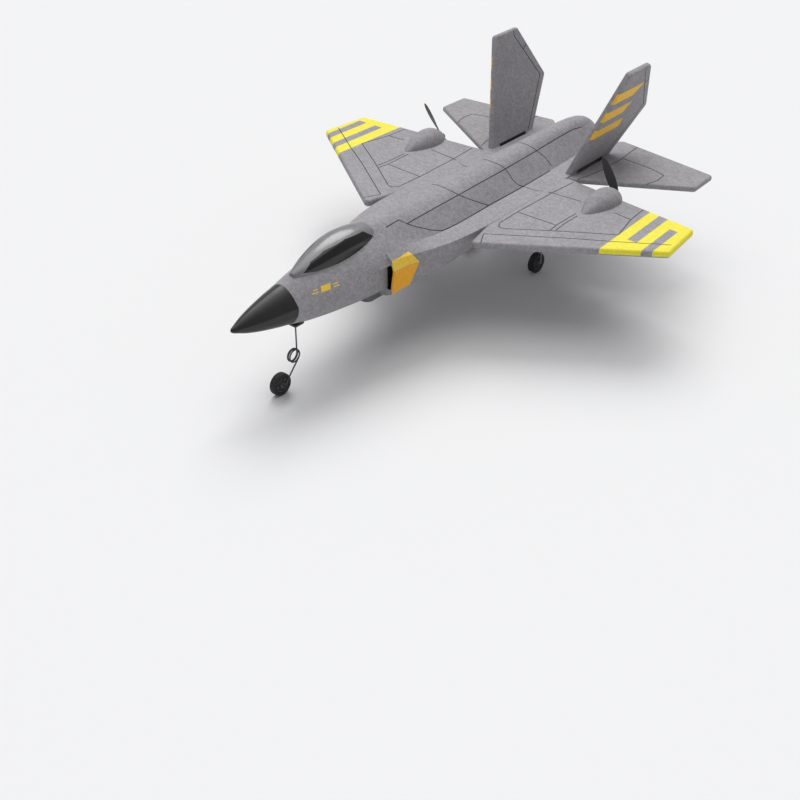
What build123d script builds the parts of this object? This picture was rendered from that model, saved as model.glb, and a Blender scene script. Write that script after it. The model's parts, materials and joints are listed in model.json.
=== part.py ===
from build123d import *
import math
import os

os.makedirs("parts", exist_ok=True)

# A twin-motor radio controlled foam jet. Millimetres, +Z up, nose towards -Y.
# The origin is on the ground, under the middle of the aircraft, and +X is its left wing.

# Overall sizes
LENGTH = 374.0
SPAN = 300.0
WING_Z = 65.5
NOSE_Y = -LENGTH / 2
TAIL_Y = LENGTH / 2

# Fit and wall sizes
FIT = 0.15
RUNNING = 0.05
SEAM_GAP = 0.06
BOX_WALL = 1.4

# Fuselage
BODY_WIDTH = 80.4
BODY_HEIGHT = 46.0
CONE_LENGTH = 43.0
LIP_FROM_NOSE = 114.0
LIP_Y = NOSE_Y + LIP_FROM_NOSE
ROOT_TE_Y = TAIL_Y - 84.0
LIP_WALL = 1.6
MOUTH_DEPTH = 7.0
MOUTH_INNER_X = 21.8
MOUTH_LOW = -17.0
NOZZLE_R = 4.2
NOZZLE_DEPTH = 7.0

# Wing
WING_THICK = 5.0
ROOT_CHORD = 121.7
ROOT_X = 45.0
LE_SWEEP_RUN = 71.9
TIP_CHORD = 38.4
TIP_RAKE = 4.3
ROOT_LE_Y = ROOT_TE_Y - ROOT_CHORD
WING_TAB_X = 27.0
EDGE_ROUND = 1.9
CORNER_ROUND = 3.0
SPAR_D = 3.0
SPAR_Y = ROOT_LE_Y + 74.0
SPLIT_Z = WING_Z - WING_THICK / 2

# Tailplane and fins
TAIL_THICK = 4.0
TAIL_EDGE_ROUND = 1.6
TAIL_SPAN = 227.0
TAIL_ROOT_X = 24.0
FIN_THICK = 5.0
FIN_CANT = 18.3
FIN_FOOT_X = 34.3
FIN_HEIGHT = 75.0
FIN_FOOT_Z = 2.4
FIN_TAB_LENGTH = 34.0
FIN_TAB_DEPTH = 7.0
FIN_SLOT_GAP = 1.3

# Motors and propellers
MOTOR_X = 78.0
MOTOR_Z = WING_Z + 0.6
MOTOR_D = 8.5
MOTOR_LENGTH = 20.0
MOTOR_SEAT_WALL = 1.1
CAP_LENGTH = 2.4
SHAFT_D = 1.0
NACELLE_R = 10.6
NACELLE_LENGTH = 42.0
NACELLE_REAR_Y = ROOT_TE_Y - 1.8
PROP_RADIUS = 28.0
PROP_HUB_R = 2.6
PROP_HUB_LENGTH = 4.6
PROP_Y = NACELLE_REAR_Y + 3.05
PROP_CHORD = 6.4
BLADE_ROOT_THICK = 1.3
BLADE_THINNING = 0.7
PROP_ANGLE_LEFT = 30.0
PROP_ANGLE_RIGHT = 38.0
LEAD_D = 1.8
LEAD_ROOM = 0.5

# The spar stops inboard of the motor leads.
SPAR_REACH = MOTOR_X - 12.0

# Undercarriage
WHEEL_D = 15.0
WHEEL_WIDTH = 5.0
HUB_D = 9.6
HUB_WIDTH = 5.2
RIM_WIDTH = 4.4
BOSS_R = 1.8
DISH_R = 3.9
DISH_DEPTH = 0.4
TYRE_ROUND = 1.6
WIRE_D = 1.0
WIRE_BEND = 1.2
MAIN_WHEEL_X = 31.0
MAIN_WHEEL_Y = ROOT_TE_Y - 23.0
NOSE_WHEEL_X = 2.0
NOSE_WHEEL_Y = NOSE_Y + 35.0
COIL_Y = NOSE_Y + 45.0
COIL_Z = 25.0
COIL_R = 4.2
COIL_TURNS = 2
LAST_TURN_D = 0.92
WIRE_GAP = 0.32
RETAINER_D = 3.6
RETAINER_WIDTH = 1.4

# Control box, in the belly
BOX_WIDTH = 30.0
BOX_LENGTH = 76.0
BOX_HEIGHT = 22.0
BOX_FRONT_Y = LIP_Y - 11.0
BOX_BOTTOM_Z = WING_Z - 27.0
BOX_CORNER = 6.0
BOX_RIM_ROUND = 2.6
BOX_FLOOR = 2.6
LID_THICK = 1.4
HATCH_LENGTH = 42.0
HATCH_THICK = 1.5
HATCH_LIP = 1.0
HATCH_RIBS = 4
HATCH_RIB_PITCH = 2.2
HATCH_RIB_WIDTH = 14.0
BOARD_WIDTH = 22.0
BOARD_LENGTH = 40.0
BOARD_THICK = 1.0
BATTERY_WIDTH = 22.0
BATTERY_LENGTH = 36.0
BATTERY_THICK = 8.5
CELL_END_GAP = 2.0
SWITCH_LENGTH = 8.6
SWITCH_TRAVEL = 2.0
KNOB_WIDTH = 2.2
KNOB_LENGTH = 2.0
KNOB_PROUD = 0.9
PORT_WIDTH = 7.6
SCREW_D = 2.0
SCREW_HEAD_D = 3.8
LAMP_X = 9.0
LAMP_R = 1.0
LAMP_LENGTH = 4.0
ANTENNA_R = 0.4
ANTENNA_BORE_R = 1.0
ANTENNA_LENGTH = 31.0

# Canopy
CANOPY_FRONT_Y = NOSE_Y + 52.0
CANOPY_REAR_Y = NOSE_Y + 117.0
CANOPY_WALL = 1.3
CANOPY_SKIN = 0.6

# The section tables are drawn for a body 80.4 wide and 46 high, and stretched to size.
KX = BODY_WIDTH / 80.4
KZ = BODY_HEIGHT / 46.0
SPLIT = (SPLIT_Z - WING_Z) / KZ

MID = (Align.CENTER, Align.CENTER, Align.CENTER)
SIT = (Align.CENTER, Align.CENTER, Align.MIN)
HANG = (Align.CENTER, Align.CENTER, Align.MAX)


def save(name, shape):
    """Writes one node."""
    export_step(shape, "parts/" + name + ".step")


def save_pair(name, shape):
    """Writes a left node and its mirror image on the right."""
    save(name + "_left", shape)
    save(name + "_right", mirror(shape, about=Plane.YZ))


def at(x, y, z):
    """A point on a body section, given from the wing plane and stretched to size."""
    return (x * KX, y, WING_Z + z * KZ)


def box_between(low, high):
    """A block from its lowest to its highest corner."""
    size = [h - l for l, h in zip(low, high)]
    middle = [(h + l) / 2 for l, h in zip(low, high)]
    return Pos(*middle) * Box(*size)


def rod(radius, start, end):
    """A round bar between two points."""
    path = Edge.make_line(start, end)
    return sweep(Plane(start, z_dir=path % 0) * Circle(radius), path)


def bent_rod(radius, points, bend):
    """A round bar along straight runs joined by tangent arcs."""
    path = FilletPolyline(*points, radius=bend)
    return sweep(Plane(path @ 0, z_dir=path % 0) * Circle(radius), path)


def plate(points, z_mid, thick, corner, edge_round):
    """A flat foam panel with rounded plan corners and softened edges."""
    sheet = make_face(Polyline(*points, close=True))
    slab = extrude(Pos(0, 0, z_mid - thick / 2) * sheet, amount=thick, dir=(0, 0, 1))
    slab = fillet(slab.edges().filter_by(Axis.Z), corner)
    rims = slab.faces().sort_by(Axis.Z)[-1].edges() + slab.faces().sort_by(Axis.Z)[0].edges()
    return fillet(rims, edge_round)


# Fuselage sections

# Distance behind the nose tip, crown z, upper shoulder, lower shoulder, chine x,
# bilge point, keel z.
NOSE_STATIONS = [
    (CONE_LENGTH, 8.5, (5.5, 6.6), (9.9, 2.8), 13.8, (10.8, -11.8), -18.6),
    (57.0, 11.5, (7.2, 9.0), (12.6, 4.0), 17.0, (13.4, -14.4), -21.8),
    (75.0, 12.7, (9.8, 10.4), (16.0, 5.2), 20.6, (16.2, -16.2), -23.4),
    (92.0, 14.4, (11.6, 12.0), (18.6, 6.4), 23.2, (18.2, -17.2), -24.0),
    (107.0, 18.0, (12.0, 14.4), (20.4, 7.6), 24.9, (19.6, -17.6), -24.2),
    (121.0, 20.0, (12.6, 15.8), (21.6, 8.4), 25.6, (20.2, -17.8), -24.2),
]

# Station y, crown z, ridge, foot, rim, side x at the split, lower corner, bilge, keel z.
MAIN_STATIONS = [
    (LIP_Y, 21.6, (10.0, 17.2), (20.4, 9.0), (26.2, 4.2),
     28.5, (26.2, -19.6), (18.0, -22.9), -24.0),
    (LIP_Y + 28.0, 20.6, (11.6, 16.2), (22.6, 6.4), (32.4, 3.2),
     34.0, (31.4, -16.0), (22.0, -21.4), -24.0),
    (ROOT_LE_Y, 19.5, (12.6, 15.0), (24.2, 4.0), (37.8, 2.9),
     39.0, (35.4, -12.0), (22.8, -19.4), -23.0),
    (ROOT_LE_Y + 28.0, 18.9, (12.4, 14.5), (24.0, 3.3), (39.4, 2.7),
     40.2, (35.2, -10.0), (21.8, -17.6), -21.4),
    (ROOT_TE_Y - 43.0, 18.9, (11.0, 14.4), (23.4, 3.0), (38.2, 2.6),
     39.2, (33.0, -8.4), (20.0, -14.8), -17.8),
    (ROOT_TE_Y, 19.0, (9.6, 14.5), (22.2, 3.0), (36.8, 2.5),
     38.0, (31.0, -7.0), (18.0, -12.0), -14.2),
    (TAIL_Y - 30.0, 18.8, (7.8, 14.6), (19.0, 3.0), (32.8, 2.3),
     34.0, (27.0, -6.2), (16.0, -10.2), -12.0),
    (TAIL_Y - 13.0, 16.2, (7.0, 12.8), (16.2, 2.8), (27.4, 2.0),
     28.4, (22.4, -5.6), (13.4, -9.0), -10.4),
    (TAIL_Y - 4.0, 11.4, (6.2, 9.0), (13.6, 2.4), (22.6, 1.6),
     23.4, (18.4, -5.0), (11.2, -7.8), -9.0),
    (TAIL_Y, 6.0, (5.0, 5.0), (11.0, 1.8), (18.2, 1.2),
     18.8, (15.0, -4.6), (9.2, -6.6), -7.6),
]


def nose_outline(y, station, lift=0.0, shrink=1.0):
    """Wires of a nose section above and below the chine, about the axis of the tip."""
    _, crown, high, low, chine, bilge, keel = station

    def p(x, z):
        return at(x * shrink, y, lift + (z - lift) * shrink)

    right = [p(chine, SPLIT), p(*low), p(*high)]
    left = [p(-high[0], high[1]), p(-low[0], low[1]), p(-chine, SPLIT)]
    over = Spline(*right, p(0, crown), *left)
    under = Spline(left[-1], p(-bilge[0], bilge[1]), p(0, keel), p(*bilge), right[0])
    return over, under


def nose_bodies():
    """The nose between the cone and the intakes, above and below the chine."""
    uppers = []
    lowers = []
    for station in NOSE_STATIONS:
        over, under = nose_outline(NOSE_Y + station[0], station)
        uppers.append(Wire([over.edge(), Edge.make_line(over @ 1, over @ 0)]))
        lowers.append(Wire([under.edge(), Edge.make_line(under @ 1, under @ 0)]))
    return Solid.make_loft(uppers), Solid.make_loft(lowers)


def main_upper_wire(station):
    """The section above the split: round crown, sloping side, flat deck."""
    y, crown, ridge, foot, rim, side = station[:6]
    right = [at(*ridge_point(p, y)) for p in (ridge, foot, rim)] + [at(side, y, SPLIT)]
    left = [(-x, yy, z) for x, yy, z in reversed(right)]
    top = ThreePointArc(left[-1], at(0, y, crown), right[0])
    lines = [Edge.make_line(a, b) for a, b in zip(right, right[1:] + [left[0]])]
    lines += [Edge.make_line(a, b) for a, b in zip(left, left[1:])]
    return Wire([top.edge()] + lines)


def ridge_point(pair, y):
    """Puts a station's y between its x and z."""
    return (pair[0], y, pair[1])


def main_lower_wire(station):
    """The section below the split: slab side and a rounded belly."""
    y = station[0]
    side, corner, bilge, keel = station[5:]
    right = at(side, y, SPLIT)
    left = (-right[0], y, right[2])
    low_right = at(corner[0], y, corner[1])
    low_left = (-low_right[0], y, low_right[2])
    belly = Spline(
        low_right,
        at(bilge[0], y, bilge[1]),
        at(0, y, keel),
        at(-bilge[0], y, bilge[1]),
        low_left,
    )
    sides = [
        Edge.make_line(left, right),
        Edge.make_line(right, low_right),
        belly.edge(),
        Edge.make_line(low_left, left),
    ]
    return Wire(sides)


def intake_mouths():
    """The two recesses behind the lips, each with a relief in the nose's side."""
    outer = MAIN_STATIONS[0][5] - 0.1 - LIP_WALL
    low = MOUTH_LOW
    inner = MOUTH_INNER_X
    outline = [(inner, 1.0), (outer - 1.2, 1.0), (outer, -2.4), (outer - 2.0, low), (inner, low)]
    points = [at(x, LIP_Y - 0.5, z) for x, z in outline]
    mouth = extrude(make_face(Polyline(*points, close=True)), amount=MOUTH_DEPTH + 0.5, dir=(0, 1, 0))
    front = LIP_Y - 26.0
    plan = [(inner + 2.8, front), (36.0, front), (36.0, LIP_Y), (inner, LIP_Y)]
    points = [at(x, y, low) for x, y in plan]
    relief = extrude(make_face(Polyline(*points, close=True)), amount=18.0 * KZ, dir=(0, 0, 1))
    left = mouth + relief
    return left + mirror(left, about=Plane.YZ)


# Nose cone

CONE_AXIS = -4.2
CONE_STEPS = [
    (1.0, 0.10),
    (4.0, 0.205),
    (8.0, 0.33),
    (13.0, 0.465),
    (19.0, 0.60),
    (25.0, 0.715),
    (31.0, 0.82),
    (37.0, 0.915),
]


def nose_cone():
    """The black nose: a blunt tip that grows into the first nose section."""
    base = NOSE_STATIONS[0]
    wires = []
    for distance, size in CONE_STEPS + [(CONE_LENGTH, 1.0)]:
        over, under = nose_outline(NOSE_Y + distance, base, CONE_AXIS, size)
        wires.append(Wire([over.edge(), under.edge()]))
    tip = Vertex(*at(0, NOSE_Y, CONE_AXIS))
    return Solid.make_loft([tip] + wires)


# Canopy

# Share of the canopy's length, half-width at the sill, top z.
CANOPY_STATIONS = [
    (0.0, 2.4, 12.8),
    (0.12, 5.8, 16.0),
    (0.32, 9.2, 20.6),
    (0.60, 11.6, 24.1),
    (0.80, 11.7, 23.7),
    (1.0, 10.6, 21.4),
]
CANOPY_FLOOR = 9.5


def canopy_blister(inset):
    """The canopy's closed outer form, drawn in by an inset."""
    length = CANOPY_REAR_Y - CANOPY_FRONT_Y
    wires = []
    for share, half, top in CANOPY_STATIONS:
        y = CANOPY_FRONT_Y + share * length
        y += inset * (1.0 - 2.0 * share)
        wide = max(half - inset / KX, 1.2)
        high = max(top - inset / KZ, CANOPY_FLOOR + 1.6)
        floor = CANOPY_FLOOR
        knee = floor + (high - floor) * 0.30
        over = Spline(
            at(wide, y, knee),
            at(wide * 0.74, y, floor + (high - floor) * 0.80),
            at(0, y, high),
            at(-wide * 0.74, y, floor + (high - floor) * 0.80),
            at(-wide, y, knee),
        )
        foot_left = at(-wide, y, floor)
        foot_right = at(wide, y, floor)
        sides = [
            over.edge(),
            Edge.make_line(over @ 1, foot_left),
            Edge.make_line(foot_left, foot_right),
            Edge.make_line(foot_right, over @ 0),
        ]
        wires.append(Wire(sides))
    return Solid.make_loft(wires)


def window_prism():
    """The side-view outline of the left window, carried out through the canopy side."""
    f = CANOPY_FRONT_Y
    outline = [
        (f + 5.0, 12.2),
        (f + 12.0, 16.8),
        (f + 24.0, 20.6),
        (f + 40.0, 22.6),
        (f + 56.0, 21.4),
        (f + 62.0, 17.0),
        (f + 58.0, 13.6),
        (f + 34.0, 11.0),
        (f + 14.0, 10.8),
    ]
    points = [(0, y, WING_Z + z * KZ) for y, z in outline]
    face = make_face(Polyline(*points, close=True))
    inner = 3.8 * KX
    return extrude(Pos(inner, 0, 0) * face, amount=40, dir=(1, 0, 0))


# Wing, tailplane and fin outlines


def wing_points():
    """Plan of the left wing with its root tab."""
    tip_x = SPAN / 2
    tip_le = ROOT_LE_Y + LE_SWEEP_RUN
    side = BODY_WIDTH / 2
    return [
        (WING_TAB_X, ROOT_LE_Y + 30.0),
        (side - 1.8, ROOT_LE_Y + 27.0),
        (ROOT_X, ROOT_LE_Y),
        (tip_x, tip_le),
        (tip_x - TIP_RAKE, tip_le + TIP_CHORD),
        (side - 0.2, ROOT_TE_Y),
        (WING_TAB_X, ROOT_TE_Y - 3.0),
    ]


def tailplane_points():
    """Plan of the left tailplane with its root inside the body."""
    tip_x = TAIL_SPAN / 2
    return [
        (TAIL_ROOT_X, ROOT_TE_Y + 8.0),
        (BODY_WIDTH / 2 - 3.2, ROOT_TE_Y + 0.5),
        (tip_x, ROOT_TE_Y + 46.0),
        (tip_x - 1.0, TAIL_Y - 12.0),
        (BODY_WIDTH / 2 - 8.2, TAIL_Y - 1.8),
        (TAIL_ROOT_X, TAIL_Y - 9.0),
    ]


def fin_frame():
    """The plane of the left fin: local x runs aft, local y runs up the cant."""
    tilt = math.radians(FIN_CANT)
    origin = (FIN_FOOT_X, ROOT_TE_Y, WING_Z + FIN_FOOT_Z)
    return Plane(origin, x_dir=(0, 1, 0), z_dir=(math.cos(tilt), 0, -math.sin(tilt)))


def fin_slab(points, thick):
    """A panel of the fin's plane, centred on it."""
    face = fin_frame() * make_face(Polyline(*points, close=True))
    return extrude(face, amount=thick / 2, both=True)


def fin_solid(neighbours):
    """A canted fin that stands on its neighbours' tops, with a tab that goes down into its slot."""
    outline = [
        (1.4, -6.0),
        (34.6, FIN_HEIGHT),
        (61.0, FIN_HEIGHT),
        (82.6, FIN_HEIGHT * 0.46),
        (50.6, -6.0),
    ]
    slab = fin_slab(outline, FIN_THICK)
    plane = fin_frame()
    across = [e for e in slab.edges() if abs(e.tangent_at(0.5).dot(plane.z_dir)) > 0.99]
    high = [e for e in across if plane.to_local_coords(e.center()).Y > 0]
    slab = fillet(high, CORNER_ROUND)
    side_faces = [f for f in slab.faces() if abs(f.normal_at().dot(plane.z_dir)) > 0.99]
    rims = [e for f in side_faces for e in f.edges()]
    rims = [e for e in rims if plane.to_local_coords(e.center()).Y > -5.0]
    slab = fillet(rims, EDGE_ROUND)
    for neighbour in neighbours:
        slab -= neighbour
    return slab + fin_slab(tab_points(0.0, 0.0), FIN_THICK)


def tab_points(side_room, top_room):
    """Outline of the fin's tab, with room all round it for the slot."""
    start = 11.5 - side_room
    end = start + FIN_TAB_LENGTH + 2 * side_room
    low = -FIN_TAB_DEPTH
    high = 0.5 + top_room
    return [(start, low), (end, low), (end, high), (start, high)]


def fin_slot():
    """The slot that the tab stands in: open on both sides of the fin."""
    return fin_slab(tab_points(0.0, 6.0), FIN_THICK + 2 * FIN_SLOT_GAP)


# Nacelles, motors and propellers

# Share of the nacelle's length from its front, radius share.
NACELLE_SHAPE = [(0.17, 0.42), (0.38, 0.80), (0.60, 1.0), (0.82, 0.95), (0.95, 0.70)]
NACELLE_REAR_R = 5.9


def nacelle_form(room):
    """The nacelle's outside: a teardrop of revolution with a blunt rear."""
    front = NACELLE_REAR_Y - NACELLE_LENGTH
    ys = [(front + s * NACELLE_LENGTH, r * NACELLE_R + room) for s, r in NACELLE_SHAPE]
    curve = Spline(
        (0, front - room, 0),
        *[(r, y, 0) for y, r in ys],
        (NACELLE_REAR_R + room, NACELLE_REAR_Y, 0),
    )
    end = (0, NACELLE_REAR_Y, 0)
    sides = [curve.edge(), Edge.make_line(curve @ 1, end), Edge.make_line(end, curve @ 0)]
    solid = revolve(Face(Wire(sides)), axis=Axis.Y)
    return Pos(MOTOR_X, 0, MOTOR_Z) * solid


SEAT_REAR_Y = NACELLE_REAR_Y + 0.4
CAN_REAR_Y = SEAT_REAR_Y - 0.6
CAN_FRONT_Y = CAN_REAR_Y - MOTOR_LENGTH
CAP_FRONT_Y = CAN_FRONT_Y - CAP_LENGTH
SEAT_FRONT_Y = CAP_FRONT_Y - 1.2
SEAT_R = MOTOR_D / 2 + MOTOR_SEAT_WALL


def along_y(radius, low, high):
    """A round bar along Y on the left motor's axis."""
    return rod(radius, (MOTOR_X, low, MOTOR_Z), (MOTOR_X, high, MOTOR_Z))


def motor_seat():
    """The plastic sleeve that holds the motor in the nacelle."""
    sleeve = along_y(SEAT_R, SEAT_FRONT_Y, SEAT_REAR_Y)
    sleeve -= along_y(MOTOR_D / 2, CAP_FRONT_Y, SEAT_REAR_Y + 1)
    sleeve -= along_y(LEAD_D / 2 + LEAD_ROOM, SEAT_FRONT_Y - 1, SEAT_REAR_Y)
    return sleeve


def motor_can():
    """The motor's steel can with a stepped nose and a shaft hole."""
    can = along_y(MOTOR_D / 2, CAN_FRONT_Y, CAN_REAR_Y)
    can = chamfer(can.edges().filter_by(GeomType.CIRCLE), 0.35)
    return can - along_y(SHAFT_D / 2 + RUNNING, CAN_FRONT_Y + 4, CAN_REAR_Y + 2)


def motor_shaft():
    """The shaft, from inside the can to the end of the propeller's hub."""
    return along_y(SHAFT_D / 2, CAN_FRONT_Y + 5, PROP_Y + PROP_HUB_LENGTH / 2)


# Share of the blade's reach, chord share, pitch angle from the disc plane.
BLADE_SHAPE = [
    (0.06, 0.34, 62.0),
    (0.30, 0.86, 44.0),
    (0.55, 1.0, 30.0),
    (0.80, 0.80, 22.0),
    (0.96, 0.40, 18.0),
    (1.0, 0.14, 17.0),
]


def blade(hand):
    """One twisted blade, from the hub to the tip, along +Z from the hub's axis."""
    wires = []
    for share, chord_share, pitch in BLADE_SHAPE:
        reach = share * PROP_RADIUS
        chord = chord_share * PROP_CHORD
        thick = BLADE_ROOT_THICK - BLADE_THINNING * share
        turned = Plane((0, 0, reach), x_dir=(1, 0, 0), z_dir=(0, 0, 1)).rotated((0, 0, hand * pitch))
        outline = turned * Ellipse(chord / 2, thick / 2)
        wires.append(outline.wire())
    return Solid.make_loft(wires)


def propeller(angle, hand):
    """Two blades on a round hub, turned about Y to the given angle from +Z towards -X."""
    hub = Cylinder(PROP_HUB_R, PROP_HUB_LENGTH, rotation=(90, 0, 0))
    hub = chamfer(hub.edges().filter_by(GeomType.CIRCLE), 0.5)
    one = blade(hand)
    prop = hub + one + Rot(0, 180, 0) * one
    prop -= Cylinder(SHAFT_D / 2, PROP_HUB_LENGTH * 2, rotation=(90, 0, 0))
    return Rot(0, -angle, 0) * prop


# Motor leads

LEAD_START = (7.0, BOX_FRONT_Y + 52.0, BOX_BOTTOM_Z + 17.0)


def lead_points():
    """Route of the left motor's leads, from the board to the motor's rear cap."""
    x, y, z = LEAD_START
    return [
        (x, y, z),
        (x, y, WING_Z - 0.6),
        (BODY_WIDTH / 2 - 8.0, ROOT_LE_Y + 46.0, WING_Z - 0.6),
        (MOTOR_X - 5.0, SEAT_FRONT_Y - 22.0, WING_Z - 0.2),
        (MOTOR_X, SEAT_FRONT_Y - 9.0, MOTOR_Z),
        (MOTOR_X, CAP_FRONT_Y, MOTOR_Z),
    ]


LEAD_BENDS = [2.6, 14.0, 14.0, 8.0]


def lead(radius):
    """The leads' tube at a given radius."""
    return bent_rod(radius, lead_points(), LEAD_BENDS)


# Undercarriage


def wheel(x, y):
    """A tyre and its hub, with the hub's bore on the axle."""
    centre = (x, y, WHEEL_D / 2)
    turn = (0, 90, 0)
    tyre = Cylinder(WHEEL_D / 2, WHEEL_WIDTH, rotation=turn)
    tyre = fillet(tyre.edges().filter_by(GeomType.CIRCLE), TYRE_ROUND)
    tyre -= Cylinder(HUB_D / 2, WHEEL_WIDTH * 2, rotation=turn)
    hub = Cylinder(HUB_D / 2, RIM_WIDTH, rotation=turn)
    boss = Cylinder(BOSS_R, HUB_WIDTH, rotation=turn)
    dish = Cylinder(DISH_R, 2 * DISH_DEPTH, rotation=turn) - boss
    for sign in (-1, 1):
        hub -= Pos(sign * RIM_WIDTH / 2, 0, 0) * dish
    hub += boss
    hub -= Cylinder(WIRE_D / 2 + RUNNING, HUB_WIDTH * 2, rotation=turn)
    return Pos(*centre) * tyre, Pos(*centre) * hub


def retainer(x, y):
    """A small cap on the axle's free end, inboard of the hub."""
    ring = Cylinder(RETAINER_D / 2, RETAINER_WIDTH, rotation=(0, 90, 0))
    ring = chamfer(ring.edges().filter_by(GeomType.CIRCLE), 0.3)
    ring -= Cylinder(WIRE_D / 2, RETAINER_WIDTH * 2, rotation=(0, 90, 0))
    inboard = x - HUB_WIDTH / 2 - RETAINER_WIDTH / 2 - WIRE_GAP
    return Pos(inboard, y, WHEEL_D / 2) * ring


def axle_end_x(x):
    """Where the axle stops, just past its retainer."""
    return x - HUB_WIDTH / 2 - RETAINER_WIDTH - 2 * WIRE_GAP


def strut_x(x):
    """Where the upright wire stands, outboard of the hub."""
    return x + HUB_WIDTH / 2 + WIRE_BEND + 0.1


MAIN_BLOCK_Z = WING_Z - 9.2
MAIN_BLOCK_HEIGHT = 6.2
BLOCK_ROUND = 1.2
MAIN_BLOCK_WIDTH = 6.4
MAIN_BLOCK_LENGTH = 9.0
MAIN_LEG_DEPTH = 5.0
NOSE_BLOCK_Z = WING_Z - 19.6
NOSE_FLANGE = 8.4
NOSE_FLANGE_THICK = 1.2
NOSE_STEM = 5.4
NOSE_STEM_HEIGHT = 9.0
NOSE_STRUT_TOP = NOSE_BLOCK_Z + 8.0


def main_gear_wire():
    """The left main leg: down from its block, then in through the wheel."""
    x = strut_x(MAIN_WHEEL_X)
    points = [
        (x, MAIN_WHEEL_Y, MAIN_BLOCK_Z + MAIN_LEG_DEPTH),
        (x, MAIN_WHEEL_Y, WHEEL_D / 2),
        (axle_end_x(MAIN_WHEEL_X), MAIN_WHEEL_Y, WHEEL_D / 2),
    ]
    return bent_rod(WIRE_D / 2, points, WIRE_BEND)


def main_gear_block():
    """The left leg's plastic block, let into the lower fuselage."""
    x = strut_x(MAIN_WHEEL_X)
    block = Box(MAIN_BLOCK_WIDTH, MAIN_BLOCK_LENGTH, MAIN_BLOCK_HEIGHT, align=SIT)
    block = fillet(block.edges().filter_by(Axis.Z), BLOCK_ROUND)
    low = (x, MAIN_WHEEL_Y, MAIN_BLOCK_Z - 1)
    high = (x, MAIN_WHEEL_Y, MAIN_BLOCK_Z + MAIN_LEG_DEPTH)
    return Pos(x - 1.0, MAIN_WHEEL_Y, MAIN_BLOCK_Z) * block - rod(WIRE_D / 2, low, high)


LOWER_WIRE_X = strut_x(NOSE_WHEEL_X)
COIL_WIDTH = COIL_TURNS * WIRE_D
COIL_X = LOWER_WIRE_X - WIRE_D / 2 - WIRE_GAP - COIL_WIDTH / 2
UPPER_WIRE_X = COIL_X - COIL_WIDTH / 2 + WIRE_D / 2


def nose_flange(low, thick):
    """The socket's square flange, of a given thickness from a given height."""
    flange = Pos(UPPER_WIRE_X, COIL_Y + COIL_R, low) * Box(NOSE_FLANGE, NOSE_FLANGE, thick, align=SIT)
    return fillet(flange.edges().filter_by(Axis.Z), BLOCK_ROUND)


def nose_gear_block():
    """The nose leg's plastic socket, let into the lower nose."""
    y = COIL_Y + COIL_R
    flange = nose_flange(NOSE_BLOCK_Z, NOSE_FLANGE_THICK)
    stem = Box(NOSE_STEM, NOSE_STEM, NOSE_STEM_HEIGHT, align=SIT)
    stem = Pos(UPPER_WIRE_X, y, NOSE_BLOCK_Z + NOSE_FLANGE_THICK) * stem
    hole = rod(WIRE_D / 2, (UPPER_WIRE_X, y, NOSE_BLOCK_Z - 1), (UPPER_WIRE_X, y, NOSE_STRUT_TOP))
    return flange + stem - hole


def nose_gear_strut():
    """The upright wire from the socket down to the coil, which its foot is hollowed to fit."""
    y = COIL_Y + COIL_R
    wire = rod(WIRE_D / 2, (UPPER_WIRE_X, y, COIL_Z + WIRE_D), (UPPER_WIRE_X, y, NOSE_STRUT_TOP))
    disc = Cylinder(COIL_R + WIRE_D / 2, COIL_WIDTH + WIRE_D, rotation=(0, 90, 0))
    return wire - Pos(COIL_X, COIL_Y, COIL_Z) * disc


def ring(x_mid, width, deep):
    """Whole turns of wire round the coil's axis, as one plain ring."""
    outer = Cylinder(COIL_R + deep / 2, width, rotation=(0, 90, 0))
    inner = Cylinder(COIL_R - deep / 2, width * 2, rotation=(0, 90, 0))
    return Pos(x_mid, COIL_Y, COIL_Z) * (outer - inner)


def nose_gear_lower():
    """The coil's last turn, the raked wire and the axle."""
    dy = NOSE_WHEEL_Y - COIL_Y
    dz = WHEEL_D / 2 - COIL_Z
    reach = math.hypot(dy, dz)
    heading = math.atan2(dz, dy) + math.acos(COIL_R / reach)
    touch = (LOWER_WIRE_X, COIL_Y + COIL_R * math.cos(heading), COIL_Z + COIL_R * math.sin(heading))
    points = [
        touch,
        (LOWER_WIRE_X, NOSE_WHEEL_Y, WHEEL_D / 2),
        (axle_end_x(NOSE_WHEEL_X), NOSE_WHEEL_Y, WHEEL_D / 2),
    ]
    return bent_rod(WIRE_D / 2, points, WIRE_BEND) + ring(LOWER_WIRE_X, LAST_TURN_D, LAST_TURN_D)


# Control box

BOX_REAR_Y = BOX_FRONT_Y + BOX_LENGTH
BOX_TOP_Z = BOX_BOTTOM_Z + BOX_HEIGHT
HATCH_FRONT_Y = BOX_REAR_Y - HATCH_LENGTH
HATCH_LOW_Z = BOX_BOTTOM_Z + 0.6
HATCH_HALF = BOX_WIDTH / 2 - BOX_WALL - 0.6
LID_Z = BOX_TOP_Z - LID_THICK
FLOOR_Z = BOX_BOTTOM_Z + BOX_FLOOR


def box_block(inset, low, high):
    """A block with the control box's plan, drawn in by an inset."""
    block = Box(BOX_WIDTH - 2 * inset, BOX_LENGTH - 2 * inset, high - low, align=SIT)
    block = fillet(block.edges().filter_by(Axis.Z), BOX_CORNER - inset)
    return Pos(0, BOX_FRONT_Y + BOX_LENGTH / 2, low) * block


def control_box():
    """The tray in the belly, open at the top and along the hatch."""
    tray = box_block(0.0, BOX_BOTTOM_Z, BOX_TOP_Z)
    floor_rims = tray.faces().sort_by(Axis.Z)[0].edges()
    front_rims = floor_rims.filter_by(lambda e: e.center().Y < HATCH_FRONT_Y - 8)
    tray = fillet(front_rims, BOX_RIM_ROUND)
    tray -= box_block(BOX_WALL, FLOOR_Z, BOX_TOP_Z + 1)
    tray -= hatch_room()
    tray -= switch_room()
    tray -= port_block(FIT)
    return tray


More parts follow.
